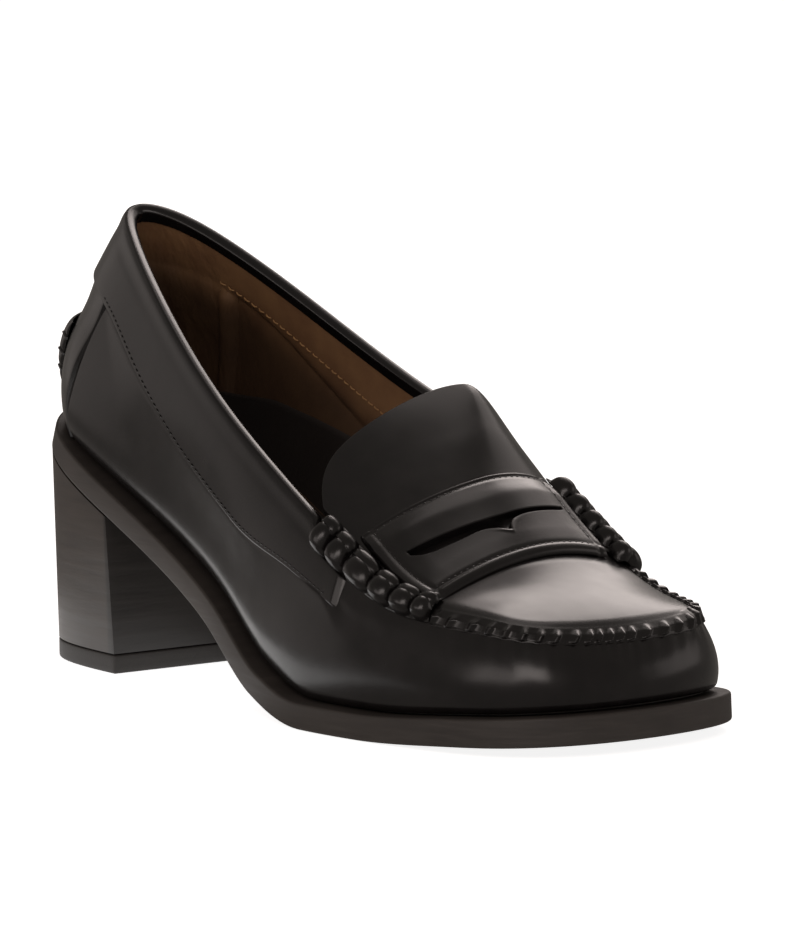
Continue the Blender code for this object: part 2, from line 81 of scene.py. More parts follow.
def flow(rows, index):
    """A smooth curve through one column of a table against its first, which never overshoots."""
    xs, ys = column(rows, 0), column(rows, index)
    steps = np.diff(xs)
    slopes = np.diff(ys) / steps
    tangents = np.concatenate([slopes[:1], np.zeros(len(xs) - 2), slopes[-1:]])
    for i in range(1, len(xs) - 1):
        before, after = slopes[i - 1], slopes[i]
        if before * after > 0.0:
            lead, trail = 2.0 * steps[i] + steps[i - 1], steps[i] + 2.0 * steps[i - 1]
            tangents[i] = (lead + trail) / (lead / before + trail / after)

    def value(x):
        x = np.clip(np.asarray(x, dtype=float), xs[0], xs[-1])
        i = np.clip(np.searchsorted(xs, x) - 1, 0, len(xs) - 2)
        f = (x - xs[i]) / steps[i]
        rise = (3.0 - 2.0 * f) * f * f
        bend = f * (1.0 - f) * steps[i] * ((1.0 - f) * tangents[i] - f * tangents[i + 1])
        return ys[i] * (1.0 - rise) + ys[i + 1] * rise + bend

    return value


def angle_at(x, back, tip):
    """The lateral angle, from nought at the heel to pi at the toe, of a distance along the shoe."""
    share = np.clip((np.asarray(x, dtype=float) - back) / (tip - back), 0.0, 1.0)
    return np.arccos(1.0 - 2.0 * share)


def side_ring(rows, lateral, medial, sign):
    """A smooth closed curve over the angle, out along a table's lateral side and back along its medial."""
    xs = column(rows, 0)
    out = angle_at(xs, xs[0], xs[-1])
    angles = np.concatenate([out, math.tau - out[-2:0:-1]])
    values = np.concatenate([sign * column(rows, lateral), column(rows, medial)[-2:0:-1]])
    count = len(angles)
    gaps = np.diff(np.append(angles, angles[0] + math.tau))
    slopes = (np.roll(values, -1) - values) / gaps
    matrix = np.zeros((count, count))
    for i in range(count):
        matrix[i, i - 1] += gaps[i - 1]
        matrix[i, i] += 2.0 * (gaps[i - 1] + gaps[i])
        matrix[i, (i + 1) % count] += gaps[i]
    bends = np.linalg.solve(matrix, 6.0 * (slopes - np.roll(slopes, 1)))

    def value(angle):
        angle = np.mod(np.asarray(angle, dtype=float), math.tau)
        i = np.clip(np.searchsorted(angles, angle, side="right") - 1, 0, count - 1)
        j = (i + 1) % count
        b = (angle - angles[i]) / gaps[i]
        a = 1.0 - b
        bend = ((a ** 3 - a) * bends[i] + (b ** 3 - b) * bends[j]) * gaps[i] ** 2 / 6.0
        return a * values[i] + b * values[j] + bend

    return value


sole_side = side_ring(SOLE_ROWS, 1, 2, -1.0)
sole_height = flow(PROFILE_ROWS, 1)
sole_thickness = flow(PROFILE_ROWS, 2)


def outline(angle, inset=0.0):
    """Plan points of the sole's edge, drawn in by an inset, with the outward normals."""
    angle = np.asarray(angle, dtype=float)
    inset = np.asarray(inset, dtype=float)[..., None]

    def plan(a):
        return np.stack([0.5 * SOLE_LENGTH * (1.0 - np.cos(a)), sole_side(a)], axis=-1)

    along = plan(angle + 1e-3) - plan(angle - 1e-3)
    along /= np.linalg.norm(along, axis=-1, keepdims=True)
    outward = np.stack([along[..., 1], -along[..., 0]], axis=-1)
    return plan(angle) - inset * outward, outward


def on_sole(plan, height):
    """Points over the sole's underside at plan points, square to its profile."""
    x = plan[..., 0]
    slope = sole_height(x + 0.5) - sole_height(x - 0.5)
    length = np.sqrt(1.0 + slope * slope)
    return np.stack([x - height * slope / length, plan[..., 1], sole_height(x) + height / length], axis=-1)


def inward(angle, inset, reach):
    """Plan points drawn in from the sole's edge, then a reach (1 to 0) towards its middle line."""
    near, far = outline(angle, inset)[0], outline(-angle, inset)[0]
    middle = 0.5 * (near + far)
    return middle + (near - middle) * np.asarray(reach)[..., None]


def lay(name, across, along, place, mark=None):
    """A plain grid is added, and each vertex moved to its place on the shoe and marked if asked."""
    bpy.ops.object.select_all(action="DESELECT")
    bpy.ops.mesh.primitive_grid_add(x_subdivisions=across, y_subdivisions=along, size=1.0)
    piece = bpy.context.object
    piece.name = piece.data.name = name
    spots = np.empty(len(piece.data.vertices) * 3)
    piece.data.vertices.foreach_get("co", spots)
    spots = spots.reshape(-1, 3) + 0.5
    u, v = np.round(spots[:, 0] * across) / across, np.round(spots[:, 1] * along) / along
    piece.data.vertices.foreach_set("co", ((place(u, v) - SHOE_MIDDLE) * 0.001).ravel())
    if mark:
        piece.data.attributes.new("gap", "FLOAT", "POINT").data.foreach_set("value", mark(u, v))
    piece.data.update()
    return piece


def weld(piece):
    """Edges that lie on each other become one."""
    bpy.ops.object.mode_set(mode="EDIT")
    bpy.ops.mesh.select_all(action="SELECT")
    bpy.ops.mesh.remove_doubles(threshold=2e-6)
    bpy.ops.mesh.dissolve_degenerate(threshold=1e-7)
    bpy.ops.object.mode_set(mode="OBJECT")


def dress(piece, finish, slot, *nodes):
    """Smooth the piece, give it its finish and set it in the place of its solid."""
    bpy.ops.object.shade_smooth_by_angle(angle=math.radians(50.0))
    piece.data.materials.clear()
    for layer in finish if isinstance(finish, list) else [finish]:
        piece.data.materials.append(layer)
    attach(piece, "root")
    if nodes:
        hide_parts(*nodes)


def tint(code):
    """An sRGB hex colour as linear light."""
    parts = [int(code[i:i + 2], 16) / 255.0 for i in (1, 3, 5)]
    return [c / 12.92 if c <= 0.04045 else ((c + 0.055) / 1.055) ** 2.4 for c in parts] + [1.0]


def node(tree, kind, inputs=None, **settings):
    """One node with its settings, and a value or a link for each named socket."""
    made = tree.nodes.new(kind)
    for name, value in settings.items():
        setattr(made, name, value)
    for name, value in (inputs or {}).items():
        if isinstance(value, bpy.types.NodeSocket):
            tree.links.new(value, made.inputs[name])
        else:
            made.inputs[name].default_value = value
    return made


def blank(name):
    """A new material with nothing but its output."""
    made = bpy.data.materials.new(name)
    made.use_nodes = True
    made.node_tree.nodes.clear()
    return made, made.node_tree


# Stained sole edge: brown-black and satin, with streaks that run level round the edge. They are about
# 0.5 mm apart on such an edge and drawn at 0.9 mm to show.
sole_stain, tree = blank("stained_sole_edge")
coord = node(tree, "ShaderNodeTexCoord").outputs["Object"]
stretch = node(tree, "ShaderNodeMapping", {"Vector": coord, "Scale": (0.06, 0.06, 1.0)}).outputs["Vector"]
streak = node(tree, "ShaderNodeTexNoise", {
    "Vector": stretch, "Scale": 1.0 / 0.0009, "Detail": 3.0}).outputs["Fac"]
patch = node(tree, "ShaderNodeTexNoise", {"Vector": coord, "Scale": 1.0 / 0.02, "Detail": 4.0}).outputs["Fac"]
mottle = node(tree, "ShaderNodeMix", {
    "Factor": streak, "A": patch, "B": streak}, data_type="FLOAT").outputs["Result"]
colour = node(tree, "ShaderNodeValToRGB", {"Fac": mottle})
colour.color_ramp.elements[0].position, colour.color_ramp.elements[0].color = 0.30, tint("#231e1b")
colour.color_ramp.elements[1].position, colour.color_ramp.elements[1].color = 0.72, tint("#332d29")
rough = node(tree, "ShaderNodeMapRange", {"Value": streak, "To Min": 0.5, "To Max": 0.7}).outputs["Result"]
bump = node(tree, "ShaderNodeBump", {
    "Height": streak, "Strength": 0.35, "Distance": 0.0002}).outputs["Normal"]
shader = node(tree, "ShaderNodeBsdfPrincipled", {
    "Base Color": colour.outputs["Color"], "Roughness": rough, "Normal": bump, "IOR": 1.5})
node(tree, "ShaderNodeOutputMaterial", {"Surface": shader.outputs["BSDF"]})

# Rows of the sole's section: reach from its middle line, inset, height, share of the thickness.
corner = np.linspace(0.0, 0.5 * math.pi, 5)
sole_rim = [(reach, SOLE_FLAT_INSET, 0.0, 0.0) for reach in (0.0, 0.35, 0.7, 1.0)]
sole_rim += [(1.0, SOLE_ROUND * (1.0 - math.sin(c)), SOLE_ROUND * (1.0 - math.cos(c)), 0.0) for c in corner]
sole_rim += [(1.0, 0.0, 0.0, 0.5)]
sole_rim += [(1.0, SOLE_ROUND * (1.0 - math.cos(c)), -SOLE_ROUND * (1.0 - math.sin(c)), 1.0) for c in corner]
sole_rim += [(reach, SOLE_FLAT_INSET, 0.0, 1.0) for reach in (1.0, 0.7, 0.35, 0.0)]


def outsole_place(u, v):
    """Out along the underside, up the rounded edge and in along the top."""
    rows = np.array(sole_rim)[np.round(v * (len(sole_rim) - 1)).astype(int)]
    plan = inward(math.tau * u, rows[:, 1], rows[:, 0])
    return on_sole(plan, rows[:, 2] + rows[:, 3] * sole_thickness(plan[:, 0]))


outsole = lay("outsole_sheet", 400, len(sole_rim) - 1, outsole_place)
weld(outsole)
dress(outsole, sole_stain, "sole", "outsole")

# Heel: a tall block, built up in thin lifts, sanded flush, stained like the sole and waxed.
# Its back follows the sole's outline and its breast is cut flat, a little under the arch.
# A rubber top lift is nailed under it, and the sole's screws hold it from inside.
LIFT_HEIGHT, HEEL_GAP = 5.0, 0.3
BREAST_TOP, BREAST_FOOT = 49.0, 51.0
HEEL_INSET, HEEL_TAPER, HEEL_CORNER = 0.2, 1.2, 0.5
HEEL_BACK_SHARE, HEEL_MIDDLE = 0.8, 26.0

# Stained heel block: satin and brown-black, with faint level layers about 2 mm thick. Its breast is
# painted darker than its sides, as painted shade under the arch.
heel_stain, tree = blank("stained_heel_block")
coord = node(tree, "ShaderNodeTexCoord").outputs["Object"]
stretch = node(tree, "ShaderNodeMapping", {"Vector": coord, "Scale": (0.09, 0.09, 1.0)}).outputs["Vector"]
lifts = node(tree, "ShaderNodeTexNoise", {
    "Vector": stretch, "Scale": 1.0 / 0.0022, "Detail": 4.0}).outputs["Fac"]
patch = node(tree, "ShaderNodeTexNoise", {"Vector": coord, "Scale": 1.0 / 0.03, "Detail": 5.0}).outputs["Fac"]
mottle = node(tree, "ShaderNodeMix", {
    "Factor": 0.55, "A": patch, "B": lifts}, data_type="FLOAT").outputs["Result"]
colour = node(tree, "ShaderNodeValToRGB", {"Fac": mottle})
colour.color_ramp.elements[0].position, colour.color_ramp.elements[0].color = 0.32, tint("#1f1a17")
colour.color_ramp.elements[1].position, colour.color_ramp.elements[1].color = 0.70, tint("#342d28")
rough = node(tree, "ShaderNodeMapRange", {"Value": lifts, "To Min": 0.40, "To Max": 0.58}).outputs["Result"]
bump = node(tree, "ShaderNodeBump", {"Height": lifts, "Strength": 0.3, "Distance": 0.0003}).outputs["Normal"]
along = node(tree, "ShaderNodeSeparateXYZ", {"Vector": coord}).outputs["X"]
# Painted shade: the breast's colour is cut to 0.3 of the sides', as shade under the arch.
breast = node(tree, "ShaderNodeMapRange", {
    "Value": along, "From Min": -0.0735, "From Max": -0.0725, "To Min": 1.0, "To Max": 0.3}).outputs["Result"]
breast_painted_shade = node(tree, "ShaderNodeVectorMath", {0: colour.outputs["Color"], "Scale": breast}, operation="SCALE")
shader = node(tree, "ShaderNodeBsdfPrincipled", {
    "Base Color": breast_painted_shade.outputs["Vector"], "Roughness": rough, "Normal": bump, "IOR": 1.5})
node(tree, "ShaderNodeOutputMaterial", {"Surface": shader.outputs["BSDF"]})

# Heel rubber: black, dull and slightly dusty, with grit of about 0.3 mm, drawn at 0.6 mm to show.
lift_rubber, tree = blank("heel_tip_rubber")
coord = node(tree, "ShaderNodeTexCoord").outputs["Object"]
grit = node(tree, "ShaderNodeTexNoise", {
    "Vector": coord, "Scale": 1.0 / 0.0006, "Detail": 2.0}).outputs["Fac"]
colour = node(tree, "ShaderNodeValToRGB", {"Fac": grit})
colour.color_ramp.elements[0].color, colour.color_ramp.elements[1].color = tint("#161311"), tint("#221e1b")
bump = node(tree, "ShaderNodeBump", {"Height": grit, "Strength": 0.25, "Distance": 0.0002}).outputs["Normal"]
shader = node(tree, "ShaderNodeBsdfPrincipled", {
    "Base Color": colour.outputs["Color"], "Roughness": 0.62, "Normal": bump, "IOR": 1.5})
node(tree, "ShaderNodeOutputMaterial", {"Surface": shader.outputs["BSDF"]})


def heel_plan(turn, breast, inset):
    """Plan points round the heel: its back for most of the turn, then its flat breast."""
    reach = float(angle_at(breast, 0.0, SOLE_LENGTH))
    back = np.clip(turn / HEEL_BACK_SHARE, 0.0, 1.0)
    round_back = outline(reach * (1.0 - 2.0 * back), inset)[0]
    across = np.clip((turn - HEEL_BACK_SHARE) / (1.0 - HEEL_BACK_SHARE), 0.0, 1.0)[:, None]
    ends = outline(np.array([-reach, reach]), inset)[0]
    flat = ends[0] + (ends[1] - ends[0]) * across
    flat[:, 0] = breast
    on_back = (turn <= HEEL_BACK_SHARE)[:, None]
    plan = np.where(on_back, round_back, flat)
    plan[:, 0] = np.minimum(plan[:, 0], breast)
    return plan


def block(name, finish, slot, low, high):
    """A block between two outlines, capped towards its middle, its corners then softened."""
    # reach from its middle, share of its height
    rows = [(0.0, 0.0), (0.5, 0.0), (1.0, 0.0), (1.0, 0.33), (1.0, 0.67), (1.0, 1.0), (0.5, 1.0), (0.0, 1.0)]

    def place(u, v):
        reach, rise = np.array(rows)[np.round(v * (len(rows) - 1)).astype(int)].T
        foot, top = low(u), high(u)
        point = foot + (top - foot) * rise[:, None]
        middle = point * [1.0, 0.0, 1.0]
        middle[:, 0] = HEEL_MIDDLE
        fill = point.copy()
        fill[:, :2] = middle[:, :2] + (point - middle)[:, :2] * reach[:, None]
        return fill

    piece = lay(name, 120, len(rows) - 1, place)
    weld(piece)
    soften = piece.modifiers.new("soft_corners", "BEVEL")
    soften.width, soften.segments, soften.limit_method = HEEL_CORNER * 0.001, 3, "ANGLE"
    soften.angle_limit = math.radians(50.0)
    bpy.ops.object.modifier_apply(modifier=soften.name)
    dress(piece, finish, slot, name.split("_block")[0])


def heel_foot(height):
    return lambda u: np.column_stack([heel_plan(u, BREAST_FOOT, HEEL_TAPER), np.full(len(u), height)])


def heel_seat(u):
    plan = heel_plan(u, BREAST_TOP, HEEL_INSET)
    return np.column_stack([plan, sole_height(plan[:, 0]) - HEEL_GAP])


block("top_lift_block", lift_rubber, "top_lift", heel_foot(0.0), heel_foot(LIFT_HEIGHT))
block("heel_block", heel_stain, "heel", heel_foot(LIFT_HEIGHT + HEEL_GAP), heel_seat)

# Sock: a thin sheet of black leather on a board, with a soft cupped edge, glued over the inside of
# the sole. It is plain and dull.
LEDGE, WALL, GAP, SOCK_THICKNESS = 4.0, 1.8, 0.3, 2.4

# Black sock leather: dyed and dull, worn smoother in patches, with pores drawn about 1 mm apart to show.
sock_leather, tree = blank("black_sock_leather")
coord = node(tree, "ShaderNodeTexCoord").outputs["Object"]
pores = node(tree, "ShaderNodeTexVoronoi", {"Vector": coord, "Scale": 1.0 / 0.0011}).outputs["Distance"]
bump = node(tree, "ShaderNodeBump", {"Height": pores, "Strength": 0.2, "Distance": 0.0001}).outputs["Normal"]
wear = node(tree, "ShaderNodeTexNoise", {"Vector": coord, "Scale": 1.0 / 0.015, "Detail": 3.0}).outputs["Fac"]
rough = node(tree, "ShaderNodeMapRange", {"Value": wear, "To Min": 0.45, "To Max": 0.62}).outputs["Result"]
shader = node(tree, "ShaderNodeBsdfPrincipled", {
    "Base Color": tint("#24201e"), "Roughness": rough, "Normal": bump, "IOR": 1.5})
node(tree, "ShaderNodeOutputMaterial", {"Surface": shader.outputs["BSDF"]})

# Rows of its section: reach from the middle line, share of the thickness.
sock_rim = [(0.0, 0.0), (0.3, 0.0), (0.6, 0.0), (0.85, 0.0), (1.0, 0.0), (1.0, 0.6), (0.985, 1.0),
            (0.93, 1.1), (0.85, 1.0), (0.6, 0.95), (0.3, 0.92), (0.0, 0.9)]


def sock_place(u, v):
    """Out along the underside, round the cupped edge and in along the top."""
    reach, rise = np.array(sock_rim)[np.round(v * (len(sock_rim) - 1)).astype(int)].T
    plan = inward(math.tau * u, LEDGE + WALL + 2.0 * GAP, reach)
    return on_sole(plan, sole_thickness(plan[:, 0]) + GAP + SOCK_THICKNESS * rise)


sock = lay("sock_sheet", 240, len(sock_rim) - 1, sock_place)
weld(sock)
dress(sock, sock_leather, "sock", "insole")

# Upper: quarters and apron of smooth black leather, pulled over the last, lined with tan leather.
# The wall climbs from the sole to the collar and to the gathered seam, where the apron closes the top.
# It has been polished, so it gives broad soft lights, with slight puckers under the seam.
COLLAR_BACK, SEAM_TIP, THROAT = 22.5, 230.7, 170.0
LOW_SHARE, HIGH_SHARE = 0.35, 0.32
EDGE_ROWS = [
    # x, lateral, medial, lateral height, medial height
    (22.5, 0.0, 0.0, 119.0, 119.0),
    (36.0, 10.6, 10.6, 112.6, 114.6),
    (65.5, 22.0, 21.8, 98.2, 98.0),
    (105.5, 30.6, 30.4, 75.3, 77.2),
    (150.0, 33.3, 33.8, 51.1, 59.4),
    (187.4, 34.3, 32.5, 35.5, 40.2),
    (210.6, 29.4, 31.7, 32.6, 32.1),
    (225.6, 21.9, 26.5, 30.7, 30.5),
    (230.7, -2.2, 2.2, 29.5, 29.5),
]
WALL_ROWS = [
    # x, low swell, high swell
    (0.0, 6.0, 12.5),
    (30.0, 5.0, 8.5),
    (60.0, 4.0, 6.0),
    (110.0, 2.5, 4.0),
    (160.0, 2.5, 4.5),
    (200.0, 2.5, 5.0),
    (242.0, 3.0, 6.0),
]
CROWN_ROWS = [
    # x, crown, crest
    (122.0, 18.0, 0.64),
    (139.0, 18.0, 0.62),
    (154.0, 16.0, 0.42),
    (169.0, 12.2, 0.14),
    (184.0, 8.9, 0.08),
    (201.0, 5.8, 0.05),
    (216.0, 3.3, 0.0),
    (230.7, 0.0, 0.0),
]
BAND_ROWS = [
    # x, foot of the collar band below the top line
    (22.0, 18.0),
    (45.0, 17.0),
    (72.0, 20.0),
    (95.0, 22.0),
    (118.0, 21.5),
    (145.0, 16.3),
    (166.0, 13.6),
]
edge_side = side_ring(EDGE_ROWS, 1, 2, -1.0)
edge_height = side_ring(EDGE_ROWS, 3, 4, 1.0)
wall_low, wall_high = flow(WALL_ROWS, 1), flow(WALL_ROWS, 2)
crown_rise, crown_crest = flow(CROWN_ROWS, 1), flow(CROWN_ROWS, 2)
band_foot = flow(BAND_ROWS, 1)


def edge(angle):
    """Points of the upper's top line."""
    x = COLLAR_BACK + 0.5 * (SEAM_TIP - COLLAR_BACK) * (1.0 - np.cos(angle))
    return np.stack([x, edge_side(angle), edge_height(angle)], axis=-1)


def edge_angle(x):
    return angle_at(x, COLLAR_BACK, SEAM_TIP)


def wall(angle, share):
    """Points of the wall, a share of its girth from the sole (0) to the top line (1)."""
    angle, share = np.broadcast_arrays(np.asarray(angle, dtype=float), np.asarray(share, dtype=float))
    plan, normal = outline(angle, LEDGE)
    foot = on_sole(plan, sole_thickness(plan[..., 0]) + GAP)
    top = edge(angle)
    outward = np.concatenate([normal, np.zeros(normal.shape[:-1] + (1,))], axis=-1)
    x = foot[..., :1]
    rise = (top - foot)[..., 2:] * np.array([0.0, 0.0, 1.0])
    low = foot + outward * wall_low(x) + LOW_SHARE * rise
    high = top + outward * wall_high(x) - HIGH_SHARE * rise

    def point(f):
        g = 1.0 - f
        return g ** 3 * foot + 3 * g * g * f * low + 3 * g * f * f * high + f ** 3 * top

    fine = np.linspace(0.0, 1.0, 41)
    track = np.stack([point(f) for f in fine], axis=-2)
    lengths = np.linalg.norm(np.diff(track, axis=-2), axis=-1)
    run = np.concatenate([np.zeros(lengths.shape[:-1] + (1,)), np.cumsum(lengths, axis=-1)], axis=-1)
    run = (run / run[..., -1:]).reshape(-1, len(fine))
    found = np.array([np.interp(s, r, fine) for s, r in zip(share.reshape(-1), run)])
    return point(found.reshape(share.shape)[..., None])


def wall_girth(angle):
    """Length of the wall from the sole to the top line."""
    track = wall(np.asarray(angle, dtype=float)[..., None], np.linspace(0.0, 1.0, 21))
    return np.linalg.norm(np.diff(track, axis=-2), axis=-1).sum(axis=-1)


girth_angles = np.linspace(0.0, math.tau, 361)
girth_table = wall_girth(girth_angles)


def girth(angle):
    return np.interp(np.mod(angle, math.tau), girth_angles, girth_table)


def unit(vectors):
    return vectors / np.linalg.norm(vectors, axis=-1, keepdims=True)


def wall_normal(angle, share):
    inner = np.clip(share, 2e-3, 1.0 - 2e-3)
    along = wall(angle + 2e-3, inner) - wall(angle - 2e-3, inner)
    up = wall(angle, inner + 2e-3) - wall(angle, inner - 2e-3)
    return unit(np.cross(along, up))


def vamp_height(x, y):
    """Height of the apron and tongue over a plan point between the two seams."""
    angle = edge_angle(x)
    lateral, medial = edge(angle), edge(-angle)
    width = np.maximum(medial[..., 1] - lateral[..., 1], 0.5)
    place = np.clip(2.0 * (y - lateral[..., 1]) / width - 1.0, -1.0, 1.0)
    crest = crown_crest(x)
    fall = np.where(place > crest, (place - crest) / (1.0 - crest), (crest - place) / (1.0 + crest))
    base = lateral[..., 2] + (medial[..., 2] - lateral[..., 2]) * 0.5 * (place + 1.0)
    return base + crown_rise(x) * (1.0 - fall * fall)


def vamp(x, place):
    """Points of the apron at a distance along the shoe, from the lateral (-1) to the medial (1) seam."""
    angle = edge_angle(x)
    lateral, medial = edge(angle), edge(-angle)
    y = lateral[..., 1] + (medial[..., 1] - lateral[..., 1]) * 0.5 * (place + 1.0)
    return np.stack([x, y, vamp_height(x, y)], axis=-1)


def vamp_normal(points):
    x, y = points[..., 0], points[..., 1]
    slope_x = (vamp_height(x + 0.4, y) - vamp_height(x - 0.4, y)) / 0.8
    slope_y = (vamp_height(x, y + 0.4) - vamp_height(x, y - 0.4)) / 0.8
    return unit(np.stack([-slope_x, -slope_y, np.ones_like(x)], axis=-1))


def ease(x):
    """A smooth step from 0 to 1."""
    x = np.clip(x, 0.0, 1.0)
    return x * x * (3.0 - 2.0 * x)


# Pleats of the gathered seam, in degrees round the shoe from the back of the heel by the outer side.
PLEATS = np.radians([
    135.3, 139.6, 145.4, 150.5, 155.0, 159.7, 163.6, 166.8, 170.6, 173.2, 174.8, 176.8, 178.8, 180.7,
    183.6, 187.6, 191.2, 194.9, 198.4, 201.8, 206.6, 210.9, 213.8, 217.0, 220.9, 224.2, 227.6])


def pleat_phase(angle):
    """Which pleat an angle lies on: a whole number on its crest."""
    count = len(PLEATS)
    return np.interp(np.mod(angle, math.tau), PLEATS, np.arange(count), left=-0.5, right=count - 0.5)


# The quarter ends in front of a narrow gap beside the backstay, at an angle round the shoe that is
# turned to millimetres by the pace there.
GAP_X, GAP_DEPTH, STAY_SINK = 42.4, 1.3, 1.4
gap_line = float(edge_angle(GAP_X))
gap_pace = float(np.linalg.norm(wall(gap_line + 0.01, 0.4) - wall(gap_line - 0.01, 0.4))) / 0.02
SOFT_FOLDS = [
    # edge x, side, drop, half length, half height, rise
    (158.0, 1, 13.0, 9.0, 4.0, 0.3),
    (172.0, 1, 11.0, 8.0, 3.5, 0.35),
    (184.0, 1, 8.5, 7.0, 3.0, 0.3),
    (178.0, 1, 15.5, 16.0, 3.6, -0.2),
    (170.0, -1, 11.0, 9.0, 4.0, 0.3),
    (184.0, -1, 9.0, 8.0, 3.5, 0.3),
    (140.0, -1, 30.0, 24.0, 9.0, -0.3),
]


def from_back(angle):
    """The angle from the middle of the back, positive on the outer side."""
    return np.mod(angle + math.pi, math.tau) - math.pi


def ahead_of_gap(turn):
    """Distance in front of the quarter's rear edge, from an angle from the back."""
    return (np.abs(turn) - gap_line) * gap_pace


def back_gap(turn, below):
    """Where the narrow gap between the quarter and the backstay lies: one within it, nought outside."""
    return np.exp(-((ahead_of_gap(turn) + 1.3) / 1.25) ** 4) * ease(below / 1.2)


def stay_sink(turn, below):
    """How far the back lies in under the collar band, between the two gaps."""
    sunk = STAY_SINK * ease(-ahead_of_gap(turn) / 3.0) * np.exp(-((below - 7.0) / 9.0) ** 2)
    return sunk * ease((below + 2.0) / 2.5)


def wall_form(angle, share):
    """The wall as the leather lies: pulled in over the sole, full at the seams and softly folded."""
    turn = from_back(angle)
    side = np.where(turn >= 0.0, 1.0, -1.0)
    length = girth(angle)
    drop, climb = (1.0 - share) * length, share * length
    x = edge(angle)[:, 0]
    below = drop - band_foot(x)
    ahead = ahead_of_gap(turn)

    # Full above the sole along the waist, then drawn in sharply where it meets the sole.
    waist = ease((x - 20.0) / 25.0) * ease((165.0 - x) / 40.0)
    form = 1.1 * np.exp(-((climb - 7.5) / 7.5) ** 2) - 1.7 * np.clip(1.0 - climb / 9.0, 0.0, 1.0) ** 2
    form = waist * form - (1.2 - 0.7 * waist) * np.clip(1.0 - climb / 2.2, 0.0, 1.0) ** 2

    # Raised along the quarter's rear edge, and nearly flush with the collar band below its foot.
    edge_rise = 1.2 * ease(ahead / 0.8) * np.exp(-np.maximum(ahead, 0.0) / 14.0) * ease(below / 1.2)
    form -= GAP_DEPTH * back_gap(turn, below)
    onset = 1.6 + 6.0 * ease((x - 160.0) / 10.0)
    flush = ease((below + 2.4) / onset) * np.exp(-np.maximum(below, 0.0) / 8.0) * ease(ahead / 0.8)
    form += np.maximum(edge_rise, 1.05 * flush * ease((205.0 - x) / 35.0))
    form -= stay_sink(turn, below)

    # Small puckers hang from the pleats at the toe, and a few soft folds lie along the vamp.
    pucker = np.cos(math.tau * pleat_phase(angle))
    front = ease((x - 200.0) / 8.0)
    form += 0.12 * pucker * front * ease((drop - 1.0) / 2.5) * np.exp(-np.maximum(drop - 4.0, 0.0) / 2.6)
    for fold_x, fold_side, fold_drop, half_length, half_height, rise in SOFT_FOLDS:
        reach = ((x - fold_x) / half_length) ** 2 + ((drop - fold_drop) / half_height) ** 2
        form += np.where(side == fold_side, rise * np.exp(-reach), 0.0)
    return wall(angle, share) + form[:, None] * wall_normal(angle, share)


# Polished black leather: smooth full-grain hide, dyed through, with a waxy shine. Its pores are 0.2 mm
# wide and drawn at 0.7 mm to show, and the hide is a little uneven over 15 to 20 mm. It doesn't shine
# in the gap beside the backstay, which no light reaches.
leather, tree = blank("polished_black_leather")
coord = node(tree, "ShaderNodeTexCoord").outputs["Object"]
sway = node(tree, "ShaderNodeTexNoise", {"Vector": coord, "Scale": 1.0 / 0.018, "Detail": 2.0}).outputs["Fac"]
grain = node(tree, "ShaderNodeTexVoronoi", {"Vector": coord, "Scale": 1.0 / 0.0007, "Smoothness": 0.6},
             feature="SMOOTH_F1").outputs["Distance"]
wax = node(tree, "ShaderNodeTexNoise", {"Vector": coord, "Scale": 1.0 / 0.007, "Detail": 5.0}).outputs["Fac"]
colour = node(tree, "ShaderNodeValToRGB", {"Fac": wax})
colour.color_ramp.elements[0].position, colour.color_ramp.elements[0].color = 0.35, tint("#0b0909")
colour.color_ramp.elements[1].position, colour.color_ramp.elements[1].color = 0.70, tint("#110e0e")
rough = node(tree, "ShaderNodeMapRange", {"Value": wax, "To Min": 0.2, "To Max": 0.3}).outputs["Result"]
broad = node(tree, "ShaderNodeBump", {"Height": sway, "Strength": 0.06, "Distance": 0.002}).outputs["Normal"]
bump = node(tree, "ShaderNodeBump", {"Height": grain, "Strength": 0.05, "Distance": 0.0001, "Normal": broad})
gap = node(tree, "ShaderNodeAttribute", attribute_name="gap").outputs["Fac"]
shine = node(tree, "ShaderNodeMapRange", {"Value": gap, "To Min": 0.5, "To Max": 0.03}).outputs["Result"]
shader = node(tree, "ShaderNodeBsdfPrincipled", {
    "Base Color": colour.outputs["Color"], "Roughness": rough, "Normal": bump.outputs["Normal"], "IOR": 1.5,
    "Specular IOR Level": shine})
node(tree, "ShaderNodeOutputMaterial", {"Surface": shader.outputs["BSDF"]})

# Tan lining leather: undyed, dull and finely pored, with short upright puckers where it turns the back.
# It is painted darker deep inside, towards the heel and the bottom, as painted shade. Its pores are drawn 0.9
# mm apart to show.
lining, tree = blank("tan_lining_leather")
coord = node(tree, "ShaderNodeTexCoord").outputs["Object"]
tone = node(tree, "ShaderNodeTexNoise", {"Vector": coord, "Scale": 1.0 / 0.012, "Detail": 5.0}).outputs["Fac"]
colour = node(tree, "ShaderNodeValToRGB", {"Fac": tone})
colour.color_ramp.elements[0].position, colour.color_ramp.elements[0].color = 0.30, tint("#6a4a31")
colour.color_ramp.elements[1].position, colour.color_ramp.elements[1].color = 0.75, tint("#82603f")
upright = node(tree, "ShaderNodeMapping", {"Vector": coord, "Scale": (1.0, 1.0, 0.15)}).outputs["Vector"]
folds = node(tree, "ShaderNodeTexNoise", {
    "Vector": upright, "Scale": 1.0 / 0.004, "Detail": 2.0}).outputs["Fac"]
along = node(tree, "ShaderNodeSeparateXYZ", {"Vector": coord}).outputs["X"]
near_back = node(tree, "ShaderNodeMapRange", {
    "Value": along, "From Min": -0.070, "From Max": -0.092, "To Min": 0.0, "To Max": 1.0}).outputs["Result"]
puckers = node(tree, "ShaderNodeMath", {0: folds, 1: near_back}, operation="MULTIPLY").outputs["Value"]
soft = node(tree, "ShaderNodeBump", {
    "Height": puckers, "Strength": 0.6, "Distance": 0.0015}).outputs["Normal"]
pores = node(tree, "ShaderNodeTexVoronoi", {"Vector": coord, "Scale": 1.0 / 0.0009}).outputs["Distance"]
